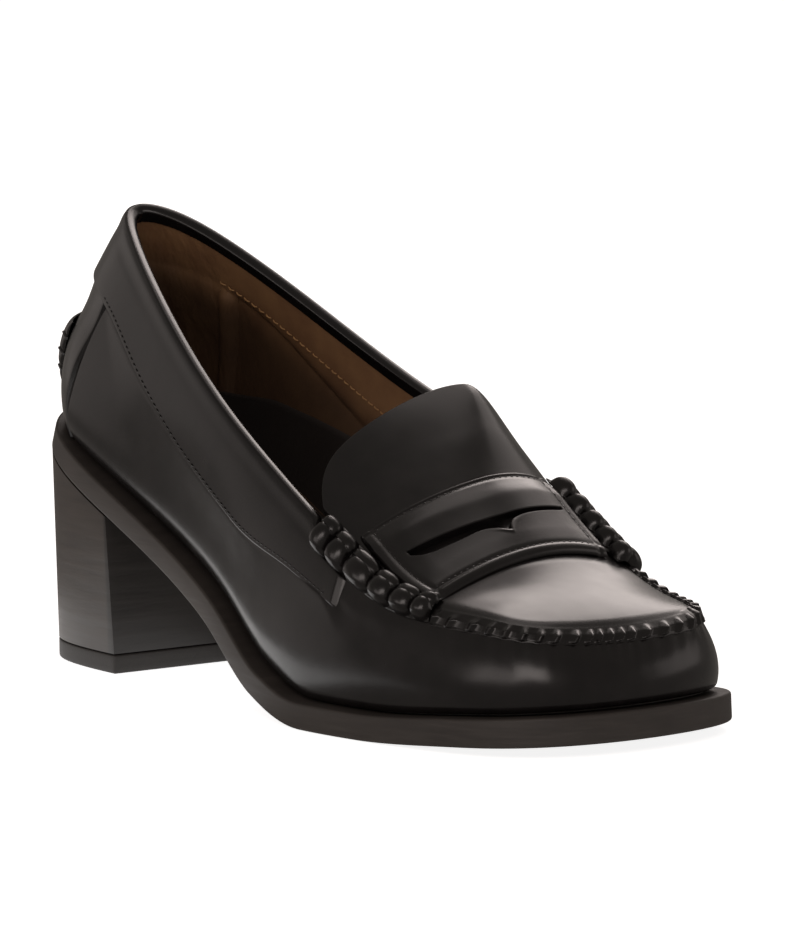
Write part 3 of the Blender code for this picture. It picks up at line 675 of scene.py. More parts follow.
bump = node(tree, "ShaderNodeBump", {"Height": pores, "Strength": 0.15, "Distance": 0.0001, "Normal": soft})
# Painted shade: the colour is scaled down to 0.3 towards the heel and the bottom inside the shoe.
up = node(tree, "ShaderNodeSeparateXYZ", {"Vector": coord}).outputs["Z"]
lean = node(tree, "ShaderNodeMath", {0: along, 1: 0.55, 2: up}, operation="MULTIPLY_ADD").outputs["Value"]
painted_depth_shade = node(tree, "ShaderNodeMapRange", {
    "Value": lean, "From Min": 0.041, "From Max": 0.058, "To Min": 0.3, "To Max": 1.0},
    interpolation_type="SMOOTHSTEP").outputs["Result"]
shade = node(tree, "ShaderNodeVectorMath", {0: colour.outputs["Color"], "Scale": painted_depth_shade}, operation="SCALE")
shader = node(tree, "ShaderNodeBsdfPrincipled", {
    "Base Color": shade.outputs["Vector"], "Roughness": 0.72, "Normal": bump.outputs["Normal"], "IOR": 1.45})
node(tree, "ShaderNodeOutputMaterial", {"Surface": shader.outputs["BSDF"]})

WALL_AROUND, WALL_UP, APRON_ACROSS = 680, 48, 72
APRON_SWELL, APRON_ROLL, APRON_SEWN, APRON_SWELL_X = 0.6, 3.0, 0.3, 192.0
DENT_X, DENT_PLACE, DENT_DEPTH = 204.0, 0.25, 0.5
TOE_CROWDING, GAP_CROWDING = 2.0, 7.0


def rounded(distance, radius):
    """Height of a round edge at a distance in from it, as a share of its radius."""
    inside = np.clip(distance / radius, 0.0, 1.0)
    return np.sqrt(1.0 - (1.0 - inside) ** 2)


half_turn = np.linspace(0.0, math.pi, 2001)
crowding = 1.0 + TOE_CROWDING * np.exp(-((math.pi - half_turn) / 0.9) ** 2)
crowding += GAP_CROWDING * np.exp(-((half_turn - gap_line) / 0.05) ** 2)
columns_to = np.cumsum(crowding) - crowding[0]
columns_to *= 0.5 / columns_to[-1]


def crowded(u):
    """Angles round the shoe, closer together at the toe and at the gaps beside the backstay."""
    near = np.interp(np.minimum(u, 1.0 - u), columns_to, half_turn)
    return np.where(u <= 0.5, near, math.tau - near)


throat_share = float(np.interp(float(edge_angle(THROAT)), half_turn, columns_to))
first_apron = int(round(throat_share * WALL_AROUND))
apron_cells = WALL_AROUND // 2 - first_apron
apron_edge = edge(np.linspace(0.5, 1.5, 3600) * math.pi)[:, :2]


def apron_swell(inside, x):
    """In front of the saddle the apron stands over its sewn edge and rolls down to it."""
    swell = APRON_SWELL * (1.0 - (1.0 - np.clip(inside / APRON_ROLL, 0.0, 1.0)) ** 2)
    return swell * ease((x - APRON_SWELL_X) / 6.0)


def apron_place(u, v):
    """Across the top between the seams, with one shallow dent behind the toe."""
    angle = crowded((first_apron + u * apron_cells) / WALL_AROUND)
    points = vamp(edge(angle)[:, 0], 2.0 * v - 1.0)
    inside = np.array([np.linalg.norm(apron_edge - spot, axis=1).min() for spot in points[:, :2]])
    points[:, 2] += apron_swell(np.maximum(inside - APRON_SEWN, 0.0), points[:, 0])
    dent = np.exp(-((points[:, 0] - DENT_X) / 8.0) ** 2 - (2.0 * (v - DENT_PLACE) / 0.35) ** 2)
    dent *= DENT_DEPTH * ease((0.5 - abs(v - 0.5)) / 0.1)
    return points - dent[:, None] * vamp_normal(points)


apron = lay("apron", apron_cells, APRON_ACROSS, apron_place)


def climb_share(v):
    """Shares up the wall, a little closer together at its top."""
    return v ** 0.9


def wall_place(u, v):
    return wall_form(crowded(u), climb_share(v))


def wall_gap(u, v):
    """How much of each vertex of the wall lies in the gap."""
    angle = crowded(u)
    below = (1.0 - climb_share(v)) * girth(angle) - band_foot(edge(angle)[:, 0])
    return back_gap(from_back(angle), below)


def thicken(piece, millimetres, inner=0):
    """Give a sheet its thickness, inwards, and its inside the finish that stands so many places on."""
    layer = piece.modifiers.new("thickness", "SOLIDIFY")
    layer.thickness, layer.offset, layer.material_offset = millimetres * 0.001, -1.0, inner
    bpy.ops.object.modifier_apply(modifier=layer.name)


upper = lay("upper_shell", WALL_AROUND, WALL_UP, wall_place, wall_gap)
apron.select_set(True)
bpy.ops.object.join()
weld(upper)
upper.data.materials.append(leather)
upper.data.materials.append(lining)
thicken(upper, WALL, inner=1)
inside = np.empty(len(upper.data.polygons), dtype=np.int32)
upper.data.polygons.foreach_get("material_index", inside)

# At the very tip the apron's edge turns short, so the lining is drawn back behind it there.
LINING_TIP_X, LINING_TIP_BACK, LINING_TIP_TOP = 228.3, 229.0, 27.9
lined = np.unique([corner for face in upper.data.polygons if face.material_index for corner in face.vertices])
spots = np.empty(len(upper.data.vertices) * 3)
upper.data.vertices.foreach_get("co", spots)
spots = spots.reshape(-1, 3) * 1000.0 + SHOE_MIDDLE
high = lined[(spots[lined, 0] > LINING_TIP_X) & (spots[lined, 2] > LINING_TIP_TOP)]
spots[high, 0] = np.minimum(spots[high, 0], LINING_TIP_BACK)
spots[high, 2] = LINING_TIP_TOP
upper.data.vertices.foreach_set("co", ((spots - SHOE_MIDDLE) * 0.001).ravel())
dress(upper, [leather, lining], "leather", "upper")
upper.data.polygons.foreach_set("material_index", inside)

# Half lining: black leather like the sock, which covers the lower wall inside and leaves tan above it.
# It is glued over the tan lining, and its top edge is skived thin.
CUP_ROWS = [
    # x, height of its top edge over the floor
    (0.0, 73.0),
    (33.0, 68.6),
    (46.0, 68.4),
    (60.0, 66.2),
    (82.0, 61.2),
    (105.0, 53.0),
    (130.0, 37.0),
    (165.0, 19.0),
    (242.0, 17.0),
]
CUP_THICKNESS, CUP_SHEET, CUP_FOOT = 0.5, 0.2, 0.03
cup_height = flow(CUP_ROWS, 1)


def cup_place(u, v):
    """Up the inside of the wall from the sock to the cup's top edge."""
    angle = math.tau * (1.0 - u)
    shares = np.linspace(0.0, 1.0, 41)
    track = wall(angle[:, None], shares)
    over = track[..., 2] - cup_height(track[..., 0])
    top = np.array([np.interp(0.0, row, shares) for row in over])
    share = CUP_FOOT + (top - CUP_FOOT) * v
    thick = GAP + CUP_THICKNESS * rounded((1.0 - v) * 20.0, 1.0)
    return wall(angle, share) - (WALL + thick)[:, None] * wall_normal(angle, share)


cup = lay("sock_half_lining", 300, 24, cup_place)
weld(cup)
thicken(cup, CUP_SHEET)
dress(cup, sock_leather, "sock")

# Tongue: the free top of the vamp, a doubled and padded leather that stands up behind the saddle.
# Its edge is turned round, so it looks like a thick rounded lip.
TONGUE_REAR, TONGUE_BOW, TONGUE_SQUARENESS, TONGUE_SPAN = 137.8, 11.5, 6, 0.93
TONGUE_THICKNESS, TONGUE_FRONT, TONGUE_HALF_WIDTH = 3.0, 170.6, 32.0


def crowd_ends(f):
    """Shares that lie closer together at both ends."""
    return 0.5 - 0.5 * np.cos(math.pi * f)


def tongue_place(u, v):
    """Over the top from front to rear, then back along the underside."""
    under = v > 0.5
    back = crowd_ends(np.where(under, 2.0 - 2.0 * v, 2.0 * v))
    place = TONGUE_SPAN * (2.0 * crowd_ends(u) - 1.0)
    rear = TONGUE_REAR + TONGUE_BOW * (place / TONGUE_SPAN) ** TONGUE_SQUARENESS
    x = TONGUE_FRONT + (rear - TONGUE_FRONT) * back
    points = vamp(x, place)
    side = (TONGUE_SPAN - np.abs(place)) * TONGUE_HALF_WIDTH
    border = rounded(side, 0.9) * rounded(x - rear, 0.6) * rounded(TONGUE_FRONT - x, 1.0)
    thick = 0.5 * TONGUE_THICKNESS * border
    way = np.where(under, -1.0, 1.0)
    return points + (thick * way - 0.5 * TONGUE_THICKNESS)[:, None] * vamp_normal(points)


tongue = lay("tongue_pad", 90, 120, tongue_place)
weld(tongue)
dress(tongue, leather, "leather", "tongue")

# Saddle: a strap of the same leather across the vamp, its edges turned under, sewn down all round.
# A slot is cut across it, wider on the outer side, where its front lip steps back.
SADDLE_REAR, SADDLE_REAR_BOW, SADDLE_FRONT, SADDLE_FRONT_SKEW = 167.8, -4.6, 194.6, -2.8
SADDLE_LATERAL, SADDLE_MEDIAL, SADDLE_THICKNESS, SLOT_DEPTH, SADDLE_SEAM = -0.87, 0.80, 1.6, 2.3, 2.6
SADDLE_FLARE, SADDLE_HALF_WIDTH, SADDLE_SHEET = 0.08, 33.0, 0.25
SLOT_FROM, SLOT_TO = 0.38, 0.64
SLOT_ROWS = [
    # place, share of the saddle at the rear lip, width of the slot
    (-0.74, 0.40, 2.4),
    (-0.68, 0.41, 3.8),
    (-0.58, 0.42, 4.5),
    (-0.40, 0.435, 4.2),
    (-0.18, 0.45, 3.4),
    (-0.05, 0.455, 4.2),
    (0.045, 0.455, 5.6),
    (0.075, 0.455, 4.0),
    (0.14, 0.45, 2.6),
    (0.30, 0.44, 1.9),
    (0.60, 0.42, 1.7),
    (0.67, 0.41, 1.3),
]
slot_rear, slot_width = flow(SLOT_ROWS, 1), flow(SLOT_ROWS, 2)


def saddle_x(place, share):
    """Distance along the shoe at a place across the strap, a share from its rear edge to its front."""
    rear = SADDLE_REAR + SADDLE_REAR_BOW * place * place
    front = SADDLE_FRONT + SADDLE_FRONT_SKEW * place
    return rear + (front - rear) * share


def saddle_end(share):
    """Where the strap ends on the outer side: it flares a little towards its front."""
    return SADDLE_LATERAL - SADDLE_FLARE * share


def saddle_height(x, place):
    """The strap's top over the vamp: thin at its rear, sewn down near its edges and folded at its front."""
    behind, before = x - saddle_x(place, 0.0), saddle_x(place, 1.0) - x
    side = np.minimum(place - saddle_end(behind / (behind + before)), SADDLE_MEDIAL - place)
    side *= SADDLE_HALF_WIDTH
    body = 0.45 + 0.55 * ease(behind / 7.0)
    border = rounded(side, 0.8) * rounded(behind, 0.5) * rounded(before, 2.4)
    sewn = sum(np.exp(-((d - SADDLE_SEAM) / 0.7) ** 2) for d in (side, before))
    sewn = sewn + np.exp(-((behind - 1.1) / 0.6) ** 2)
    full = ease(side / 9.0) * ease(before / 8.0) * ease(behind / 8.0)
    return GAP + SADDLE_THICKNESS * border * body + 0.4 * full - 0.3 * np.minimum(sewn, 1.0)


def saddle_place(u, v):
    """Across the strap (u) and along the shoe (v), with rows of the mesh laid along the slot's lips."""
    end = saddle_end(v)
    place = end + (SADDLE_MEDIAL - end) * (0.55 * u + 0.45 * crowd_ends(u))
    width = slot_width(place)
    rear = saddle_x(place, slot_rear(place))
    first, last = saddle_x(place, 0.0), saddle_x(place, 1.0)
    behind = v / SLOT_FROM
    within = (v - SLOT_FROM) / (SLOT_TO - SLOT_FROM)
    before = (v - SLOT_TO) / (1.0 - SLOT_TO)
    x = np.where(v < SLOT_FROM, first + (rear - first) * crowd_ends(behind),
                 np.where(v < SLOT_TO, rear + width * crowd_ends(within),
                          rear + width + (last - rear - width) * crowd_ends(before)))
    points = vamp(x, place)
    lip = x - rear
    outer_end = np.clip((place - SLOT_ROWS[0][0]) / 0.03, 0.0, 1.0)
    inner_end = np.clip((SLOT_ROWS[-1][0] - place) / 0.02, 0.0, 1.0)
    ends = np.sqrt(outer_end * inner_end)
    cut = ease(lip / 0.3) * ease((width - lip) / 0.3) * ends
    shelf = 0.6 * np.exp(-((place + 0.03) / 0.1) ** 2) * ease(lip / width)
    rim = 0.25 * np.exp(-((lip - width - 0.5) / 0.5) ** 2) * ends * np.exp(-((place - 0.05) / 0.09) ** 2)
    height = saddle_height(x, place) - SLOT_DEPTH * (1.0 - shelf) * cut + rim
    return points + height[:, None] * vamp_normal(points)


saddle = lay("saddle_strap", 150, 240, lambda u, v: saddle_place(1.0 - v, u))
thicken(saddle, SADDLE_SHEET)
dress(saddle, leather, "leather", "saddle")

# Rolls: at each end of the saddle the seam's edge is bunched round a core and bound with waxed thread,
# which draws it into a row of plump, shiny beads on each side of the seam.
ROLLS = [
    # piece, side, narrowing, bindings along the edge,
    # outer and inner beads: middle across the seam, half width, height
    ("roll_lateral", 1, 0.36, (153.0, 159.6, 167.0, 177.4, 185.4, 192.8, 198.4),
     (-2.5, 3.4, 4.7), (1.0, 2.2, 3.4)),
    ("roll_medial", -1, 0.0, (160.6, 167.1, 173.5, 179.8, 186.1, 192.4),
     (-2.2, 3.0, 4.0), (1.4, 2.2, 3.7)),
]
ROLL_CORE, ROLL_SHEET, BINDING_RADIUS, BINDING_POINTS = 0.8, 0.3, 0.38, 22


def over_seam(angle, reach):
    """Points and normals across the seam: down the wall below nought, in over the apron above it."""
    share = 1.0 + np.minimum(reach, 0.0) / girth(angle)
    down, down_normal = wall(angle, share), wall_normal(angle, share)
    inside = np.maximum(reach, 0.0)
    plan = edge(angle)[:, :2] - inside[:, None] * outline(angle, LEDGE)[1]
    height = vamp_height(plan[:, 0], plan[:, 1]) + apron_swell(inside, plan[:, 0])
    top = np.column_stack([plan, height])
    top_normal = vamp_normal(top)
    blend = ease((reach + 2.5) / 4.0)[:, None]
    points = np.where((reach > 0.0)[:, None], top, down)
    return points, unit(down_normal * (1.0 - blend) + top_normal * blend)


def bead(along, across):
    """A plump rounded bump over a cell that runs from -1 to 1 each way."""
    return np.sqrt(np.clip(1.0 - np.abs(along) ** 2.4 - np.abs(across) ** 2.2, 0.0, 1.0))


bindings = []
for name, side, narrowing, stops, outer, inner in ROLLS:
    stops = np.array(stops)
    lumps = len(stops) - 1

    def roll_place(u, v, side=side, narrowing=narrowing, stops=stops, lumps=lumps, outer=outer, inner=inner):
        lump = np.clip(np.floor(u * lumps), 0, lumps - 1).astype(int)
        within = u * lumps - lump
        within = 0.5 * within + 0.5 * crowd_ends(within)
        x = stops[lump] + (stops[lump + 1] - stops[lump]) * within
        size = 1.0 - narrowing * u
        low, high = (outer[0] - outer[1]) * size, inner[0] + inner[1]
        reach = low + (high - low) * (0.7 * v + 0.3 * crowd_ends(v))
        points, normal = over_seam(side * edge_angle(x), reach)
        along = 2.0 * within - 1.0
        large = outer[2] * size * bead(along, (reach / size - outer[0]) / outer[1])
        small = inner[2] * size * bead(along, (reach - inner[0]) / inner[1])
        core = ROLL_CORE * np.sqrt(np.sin(math.pi * np.clip((reach - low) / (high - low), 0.0, 1.0)))
        height = GAP + core + np.maximum(large, small)
        return points + height[:, None] * normal

    roll = lay(name + "_beads", 26 * lumps, 64, roll_place)
    if side < 0:
        bpy.ops.object.mode_set(mode="EDIT")
        bpy.ops.mesh.select_all(action="SELECT")
        bpy.ops.mesh.flip_normals()
        bpy.ops.object.mode_set(mode="OBJECT")
    thicken(roll, ROLL_SHEET)
    dress(roll, leather, "leather", name)
    for k, stop in enumerate(stops[1:-1], start=1):
        share = np.linspace(0.0, 1.0, BINDING_POINTS)
        low = 0.75 * (outer[0] - outer[1]) * (1.0 - narrowing * k / lumps)
        reach = low + (0.7 * (inner[0] + inner[1]) - low) * share
        points, normal = over_seam(np.full(BINDING_POINTS, side * float(edge_angle(stop))), reach)
        height = GAP + (ROLL_CORE + 0.2) * np.sin(math.pi * share) ** 0.5
        bindings.append(points + height[:, None] * normal)


def threads(name, lines, radius, finish, slot):
    """Many short lengths of round thread as one mesh, each closed at both ends."""
    sides = 6
    turn = np.arange(sides) * math.tau / sides
    corners, faces = [], []
    for line in lines:
        along = unit(np.gradient(line, axis=0))
        aside = unit(np.cross(along, np.array([0.31, 0.17, 0.94])))[:, None]
        over = np.cross(along, aside[:, 0])[:, None]
        first = sum(len(c) for c in corners)
        ring = np.cos(turn)[:, None] * aside + np.sin(turn)[:, None] * over
        corners.append((line[:, None] + radius * ring).reshape(-1, 3))
        for i in range(len(line) - 1):
            for j in range(sides):
                a, b = first + i * sides + j, first + i * sides + (j + 1) % sides
                faces.append((a, b, b + sides, a + sides))
        faces.append([first + j for j in reversed(range(sides))])
        faces.append([first + (len(line) - 1) * sides + j for j in range(sides)])
    mesh = bpy.data.meshes.new(name)
    mesh.from_pydata(((np.concatenate(corners) - SHOE_MIDDLE) * 0.001).tolist(), [], faces)
    piece = bpy.data.objects.new(name, mesh)
    bpy.context.collection.objects.link(piece)
    bpy.ops.object.select_all(action="DESELECT")
    piece.select_set(True)
    bpy.context.view_layer.objects.active = piece
    bpy.ops.object.mode_set(mode="EDIT")
    bpy.ops.mesh.select_all(action="SELECT")
    bpy.ops.mesh.normals_make_consistent(inside=False)
    bpy.ops.object.mode_set(mode="OBJECT")
    dress(piece, finish, slot)


def spun(name, colour, roughness):
    """Twisted polyester sewing thread, with a twist of about 0.5 mm."""
    made, tree = blank(name)
    coord = node(tree, "ShaderNodeTexCoord").outputs["Object"]
    twist = node(tree, "ShaderNodeTexNoise", {
        "Vector": coord, "Scale": 1.0 / 0.0005, "Detail": 1.0}).outputs["Fac"]
    bump = node(tree, "ShaderNodeBump", {
        "Height": twist, "Strength": 0.4, "Distance": 0.0001}).outputs["Normal"]
    shader = node(tree, "ShaderNodeBsdfPrincipled", {
        "Base Color": tint(colour), "Roughness": roughness, "Normal": bump, "IOR": 1.5})
    node(tree, "ShaderNodeOutputMaterial", {"Surface": shader.outputs["BSDF"]})
    return made


# Waxed thread: black, and a little shiny from its wax.
thread = spun("waxed_black_thread", "#161313", 0.42)
threads("roll_bindings", bindings, BINDING_RADIUS, thread, "leather")

# Gathered seam: the wall's edge is pleated and sewn to the apron's edge, so that narrow upright folds
# stand all round the toe under a thin rounded lip.
SEAM_REACH_WALL, SEAM_REACH_VAMP, SEAM_SHEET = 4.4, 1.3, 0.25
PLEAT_LEAN, INNER_SEAM = 0.006, math.radians(192.0)
seam_start = float(edge_angle(ROLLS[0][3][-1])) + 0.004
seam_end = math.tau - float(edge_angle(ROLLS[1][3][-1])) - 0.004


def seam_place(u, v):
    """Along the seam (u) and up over it (v): narrow folds on the outer side, square blocks on the inner."""
    angle = seam_start + (seam_end - seam_start) * u
    reach = -SEAM_REACH_WALL + (SEAM_REACH_WALL + SEAM_REACH_VAMP) * v
    points, normal = over_seam(angle, reach)
    phase = pleat_phase(angle + PLEAT_LEAN * np.clip(-reach, 0.0, 5.0))
    fold = 2.0 * np.abs(phase - np.round(phase))
    crest = np.exp(-(fold / 0.36) ** 2)
    uneven = 0.85 + 0.15 * np.sin(12.9 * np.round(phase) + 4.1)
    on_wall = ease((reach + SEAM_REACH_WALL) / 1.0) * ease((0.1 - reach) / 1.8)
    rise = np.clip(1.0 + reach / SEAM_REACH_WALL, 0.0, 1.0)
    stand = on_wall * (0.1 + 0.9 * rise + uneven * crest * (0.8 + 1.3 * rise))
    lip = 0.1 + 0.14 * np.exp(-((reach + 0.1) / 0.6) ** 2)
    out = np.column_stack([outline(angle, LEDGE)[1], np.zeros(len(angle))])
    near = points + lip[:, None] * normal + stand[:, None] * out
    block = uneven * np.exp(-(fold / 0.62) ** 4) * ease((SEAM_REACH_VAMP - reach) / 0.5)
    base = np.where((reach > 0.0)[:, None], points, edge(angle) - np.maximum(reach, -1.8)[:, None] * out)
    top = base + (0.1 + 1.1 * block)[:, None] * np.array([0.0, 0.0, 1.0])
    side = points + 0.1 * normal + (on_wall * (0.4 + 0.9 * block))[:, None] * out
    folded = ease((reach + 3.2) / 1.4)[:, None]
    far = side + (top - side) * folded
    inner = ease((angle - INNER_SEAM) / 0.2)[:, None]
    return near + (far - near) * inner


seam = lay("gathered_seam", 760, 44, seam_place)
thicken(seam, SEAM_SHEET)
dress(seam, leather, "leather", "moc_seam")

# Collar band: a strip of leather sewn round the top of the quarters and folded over their edge,
# where it makes a round shiny rim and meets the lining inside.
BAND_THICKNESS, BAND_FRONT, BAND_SHEET, RIM_IN, RIM_SWELL = 0.9, 166.6, 0.3, 2.8, 0.2
BAND_TOP, RIM_END = 0.62, 0.84
band_reach = float(edge_angle(BAND_FRONT))


def band_place(u, v):
    """Up the outside from the band's foot, round the rim and a little way down the lining."""
    angle = band_reach * (1.0 - 2.0 * u)
    x = edge(angle)[:, 0]
    length = girth(angle)
    out = np.clip(v / BAND_TOP, 0.0, 1.0)
    over = np.clip((v - BAND_TOP) / (RIM_END - BAND_TOP), 0.0, 1.0)
    down = np.clip((v - RIM_END) / (1.0 - RIM_END), 0.0, 1.0)
    under_roll = 6.0 * ease((x - 149.0) / 5.0)
    foot = band_foot(x)
    drop = foot + (under_roll + 0.01 - foot) * (0.5 * out + 0.5 * crowd_ends(out))
    share = 1.0 - drop / length
    normal = wall_normal(angle, share)
    thick = GAP + BAND_THICKNESS * rounded(foot - drop, 0.9) + RIM_SWELL * np.exp(-((drop - 1.4) / 1.5) ** 2)
    thick = thick - 0.06 * np.exp(-((drop - 4.6) / 1.4) ** 2) + 0.35 * np.exp(-(angle / 0.5) ** 2)
    thick = 0.05 + (thick - 0.05) * rounded((band_reach - np.abs(angle)) * 60.0, 0.9)
    radius = 0.5 * (WALL + thick + 0.45)
    tall = unit(np.array([0.0, 0.0, 1.0]) - normal * normal[:, 2:])
    turn = math.pi * over
    aside, above = thick - radius * (1.0 - np.cos(turn)), 0.6 * radius * np.sin(turn)
    rolled = aside[:, None] * normal + above[:, None] * tall
    return wall(angle, share) + rolled - (down * RIM_IN)[:, None] * tall


band = lay("collar_band_strip", 300, 60, lambda u, v: band_place(1.0 - u, v))
thicken(band, BAND_SHEET)
dress(band, leather, "leather", "collar_band")

# Backstay: a panel that covers the back seam under the collar band, set in a gap between the quarters.
# A short roll of leather is whipped across it with waxed thread.
BACKSTAY_REACH, BACKSTAY_FOOT, BACKSTAY_SHEET = 40.0, 0.02, 0.3
BACK_ROLL_FOOT, BACK_ROLL_TALL, BACK_ROLL_HALF_WIDTH, BACK_ROLL_HEIGHT = 9.0, 17.2, 17.0, 3.1
BACK_ROLL_SHEET, WHIPS, WHIP_RADIUS, WHIP_POINTS = 0.4, 4, 0.4, 12
stay_reach = float(edge_angle(BACKSTAY_REACH))


def stay_place(u, v):
    """Across the back (u) and up it (v), with rounded side edges and its top tucked under the band."""
    angle = stay_reach * (2.0 * (0.5 * u + 0.5 * crowd_ends(u)) - 1.0)
    x = edge(angle)[:, 0]
    top = 1.0 - (band_foot(x) - 1.5) / girth(angle)
    share = BACKSTAY_FOOT + (top - BACKSTAY_FOOT) * v
    border = rounded((stay_reach - np.abs(angle)) * gap_pace, 1.0)
    below = (1.0 - share) * girth(angle) - band_foot(x)
    thick = 0.1 + (GAP + BAND_THICKNESS - 0.1) * border - stay_sink(angle, below)
    return wall(angle, share) + thick[:, None] * wall_normal(angle, share)


stay = lay("backstay_panel", 80, 60, stay_place)
thicken(stay, BACKSTAY_SHEET)
dress(stay, leather, "leather", "backstay")

back_girth = float(girth(0.0))
back_middle = (BACK_ROLL_FOOT + 0.5 * BACK_ROLL_TALL) / back_girth
back_step = float(np.linalg.norm(wall(0.02, back_middle) - wall(0.0, back_middle)))
back_turn = 0.02 * BACK_ROLL_HALF_WIDTH / back_step


def back_roll_height(across, up):
    """A round roll, drawn in at its ends by the whipping."""
    ends = np.clip(1.0 - np.abs(across) ** 4, 0.0, 1.0) ** 0.5
    gather = 1.0 - 0.3 * ease((np.abs(across) - 0.8) / 0.15) * np.abs(np.cos(math.pi * WHIPS * up)) ** 3
    return ends * gather * np.sin(math.pi * np.clip(up, 0.0, 1.0)) ** 0.5


def on_back_roll(across, up, lift=0.0):
    """Points on the roll, from side to side (-1 to 1) and up it (0 to 1)."""
    angle, share = back_turn * across, (BACK_ROLL_FOOT + BACK_ROLL_TALL * up) / back_girth
    height = back_roll_height(np.clip(across, -1.0, 1.0), up)
    thick = 2.0 * GAP + BAND_THICKNESS + BACK_ROLL_HEIGHT * height + lift
    return wall(angle, share) + thick[:, None] * wall_normal(angle, share)


def back_roll_place(u, v):
    across = 2.0 * (0.4 * u + 0.6 * crowd_ends(u)) - 1.0
    return on_back_roll(across, 0.4 * v + 0.6 * crowd_ends(v))


back_roll = lay("back_roll_wrap", 90, 48, back_roll_place)
thicken(back_roll, BACK_ROLL_SHEET)
dress(back_roll, leather, "leather", "back_roll")

whips = []
for side in (-1.0, 1.0):
    for k in range(1, WHIPS):
        across = side * np.linspace(0.84, 1.06, WHIP_POINTS)
        whips.append(on_back_roll(across, np.full(WHIP_POINTS, k / WHIPS), lift=0.1))
threads("back_roll_whips", whips, WHIP_RADIUS, thread, "leather")

# Stitching: fine black thread along the saddle and the foot of the collar band, about 2 mm a stitch,
# and one tan row through the lining below the collar.
SADDLE_STITCH, SADDLE_STITCH_RUN, SADDLE_STITCH_RADIUS = 2.1, 1.5, 0.19
COLLAR_STITCH, COLLAR_STITCH_RUN, COLLAR_STITCH_RADIUS = 2.3, 1.7, 0.14
LINING_STITCH, LINING_STITCH_RUN, LINING_STITCH_RADIUS, LINING_STITCH_DROP = 2.8, 1.9, 0.2, 14.0
STITCH_SINK, STITCH_RISE, STITCH_START = 0.18, 0.22, 40.0


def stitched(path, length, pitch, run):
    """Short arcs of thread along a path, each dipping into the leather at its ends."""
    steps = np.linspace(0.0, 1.0, 6)
    lift = -STITCH_SINK + (STITCH_SINK + STITCH_RISE) * np.sin(math.pi * steps) ** 0.6
    lines = []
    for k in range(int(length / pitch)):
        points, normal = path((k * pitch + run * steps) / length)
        lines.append(points + lift[:, None] * normal)
    return lines


def saddle_path(place_of, share_of):
    """A line over the strap's top, from its place across and its share along the strap."""
    def path(f):
        place = place_of(f)
        x = saddle_x(place, share_of(f))
        points = vamp(x, place)
        normal = vamp_normal(points)
        return points + saddle_height(x, place)[:, None] * normal, normal
    return path


def across_saddle(f, share):
    seam_in = SADDLE_SEAM / SADDLE_HALF_WIDTH
    first, last = saddle_end(share) + seam_in, SADDLE_MEDIAL - seam_in
    return first + (last - first) * f


def up_saddle(f):
    return 0.05 + 0.85 * f


seams = []
for share in (0.042, 1.0 - SADDLE_SEAM / 26.0):
    row = saddle_path(lambda f: across_saddle(f, share), lambda f: np.full(len(f), share))
    seams += stitched(row, 56.0, SADDLE_STITCH, SADDLE_STITCH_RUN)
for end in (0.0, 1.0):
    row = saddle_path(lambda f: across_saddle(end, up_saddle(f)), up_saddle)
    seams += stitched(row, 23.0, SADDLE_STITCH, SADDLE_STITCH_RUN)
threads("saddle_stitches", seams, SADDLE_STITCH_RADIUS, thread, "leather")


def band_path(side):
    """Along the foot of the collar band, on one side of the shoe."""
    def path(f):
        x = STITCH_START + 122.0 * f
        angle = side * edge_angle(x)
        share = 1.0 - (band_foot(x) - 1.6) / girth(angle)
        normal = wall_normal(angle, share)
        return wall(angle, share) + (GAP + BAND_THICKNESS - 0.05) * normal, normal
    return path


seams = []
for side in (1.0, -1.0):
    seams += stitched(band_path(side), 152.0, COLLAR_STITCH, COLLAR_STITCH_RUN)
threads("collar_stitches", seams, COLLAR_STITCH_RADIUS, thread, "leather")

# Lining thread: tan and dull, with no wax.
tan_thread = spun("tan_lining_thread", "#9a7348", 0.7)


def lining_path(side):
    """Along the lining below the collar, on one side of the shoe."""
    def path(f):
        x = STITCH_START + 105.0 * f
        angle = side * edge_angle(x)
        share = 1.0 - LINING_STITCH_DROP / girth(angle)
        normal = wall_normal(angle, share)
        return wall(angle, share) - (WALL + 0.1) * normal, -normal
    return path


seams = []
for side in (1.0, -1.0):
    seams += stitched(lining_path(side), 130.0, LINING_STITCH, LINING_STITCH_RUN)
threads("lining_stitches", seams, LINING_STITCH_RADIUS, tan_thread, "sock")

# Studio: a wide sheet of white paper for a floor, lit from within a little, so that it stays pale.
# The shoe shines with soft boxes round it, and its leather doesn't mirror the paper.
bpy.ops.object.select_all(action="DESELECT")
bpy.ops.mesh.primitive_plane_add(size=30.0, location=(0.0, 0.0, -0.0002))
floor = bpy.context.object
floor.name = "studio_floor"
paper, tree = blank("white_paper_floor")
coord = node(tree, "ShaderNodeTexCoord").outputs["Object"]
fibre = node(tree, "ShaderNodeTexNoise", {"Vector": coord, "Scale": 1.0 / 0.3, "Detail": 2.0}).outputs["Fac"]
colour = node(tree, "ShaderNodeValToRGB", {"Fac": fibre})
colour.color_ramp.elements[0].color, colour.color_ramp.elements[1].color = tint("#f4f4f4"), tint("#f8f8f8")
shader = node(tree, "ShaderNodeBsdfPrincipled", {
    "Base Color": colour.outputs["Color"], "Roughness": 0.9, "Specular IOR Level": 0.1,
    "Emission Color": tint("#ffffff"), "Emission Strength": 0.85})
node(tree, "ShaderNodeOutputMaterial", {"Surface": shader.outputs["BSDF"]})
floor.data.materials.append(paper)
floor.visible_glossy = False

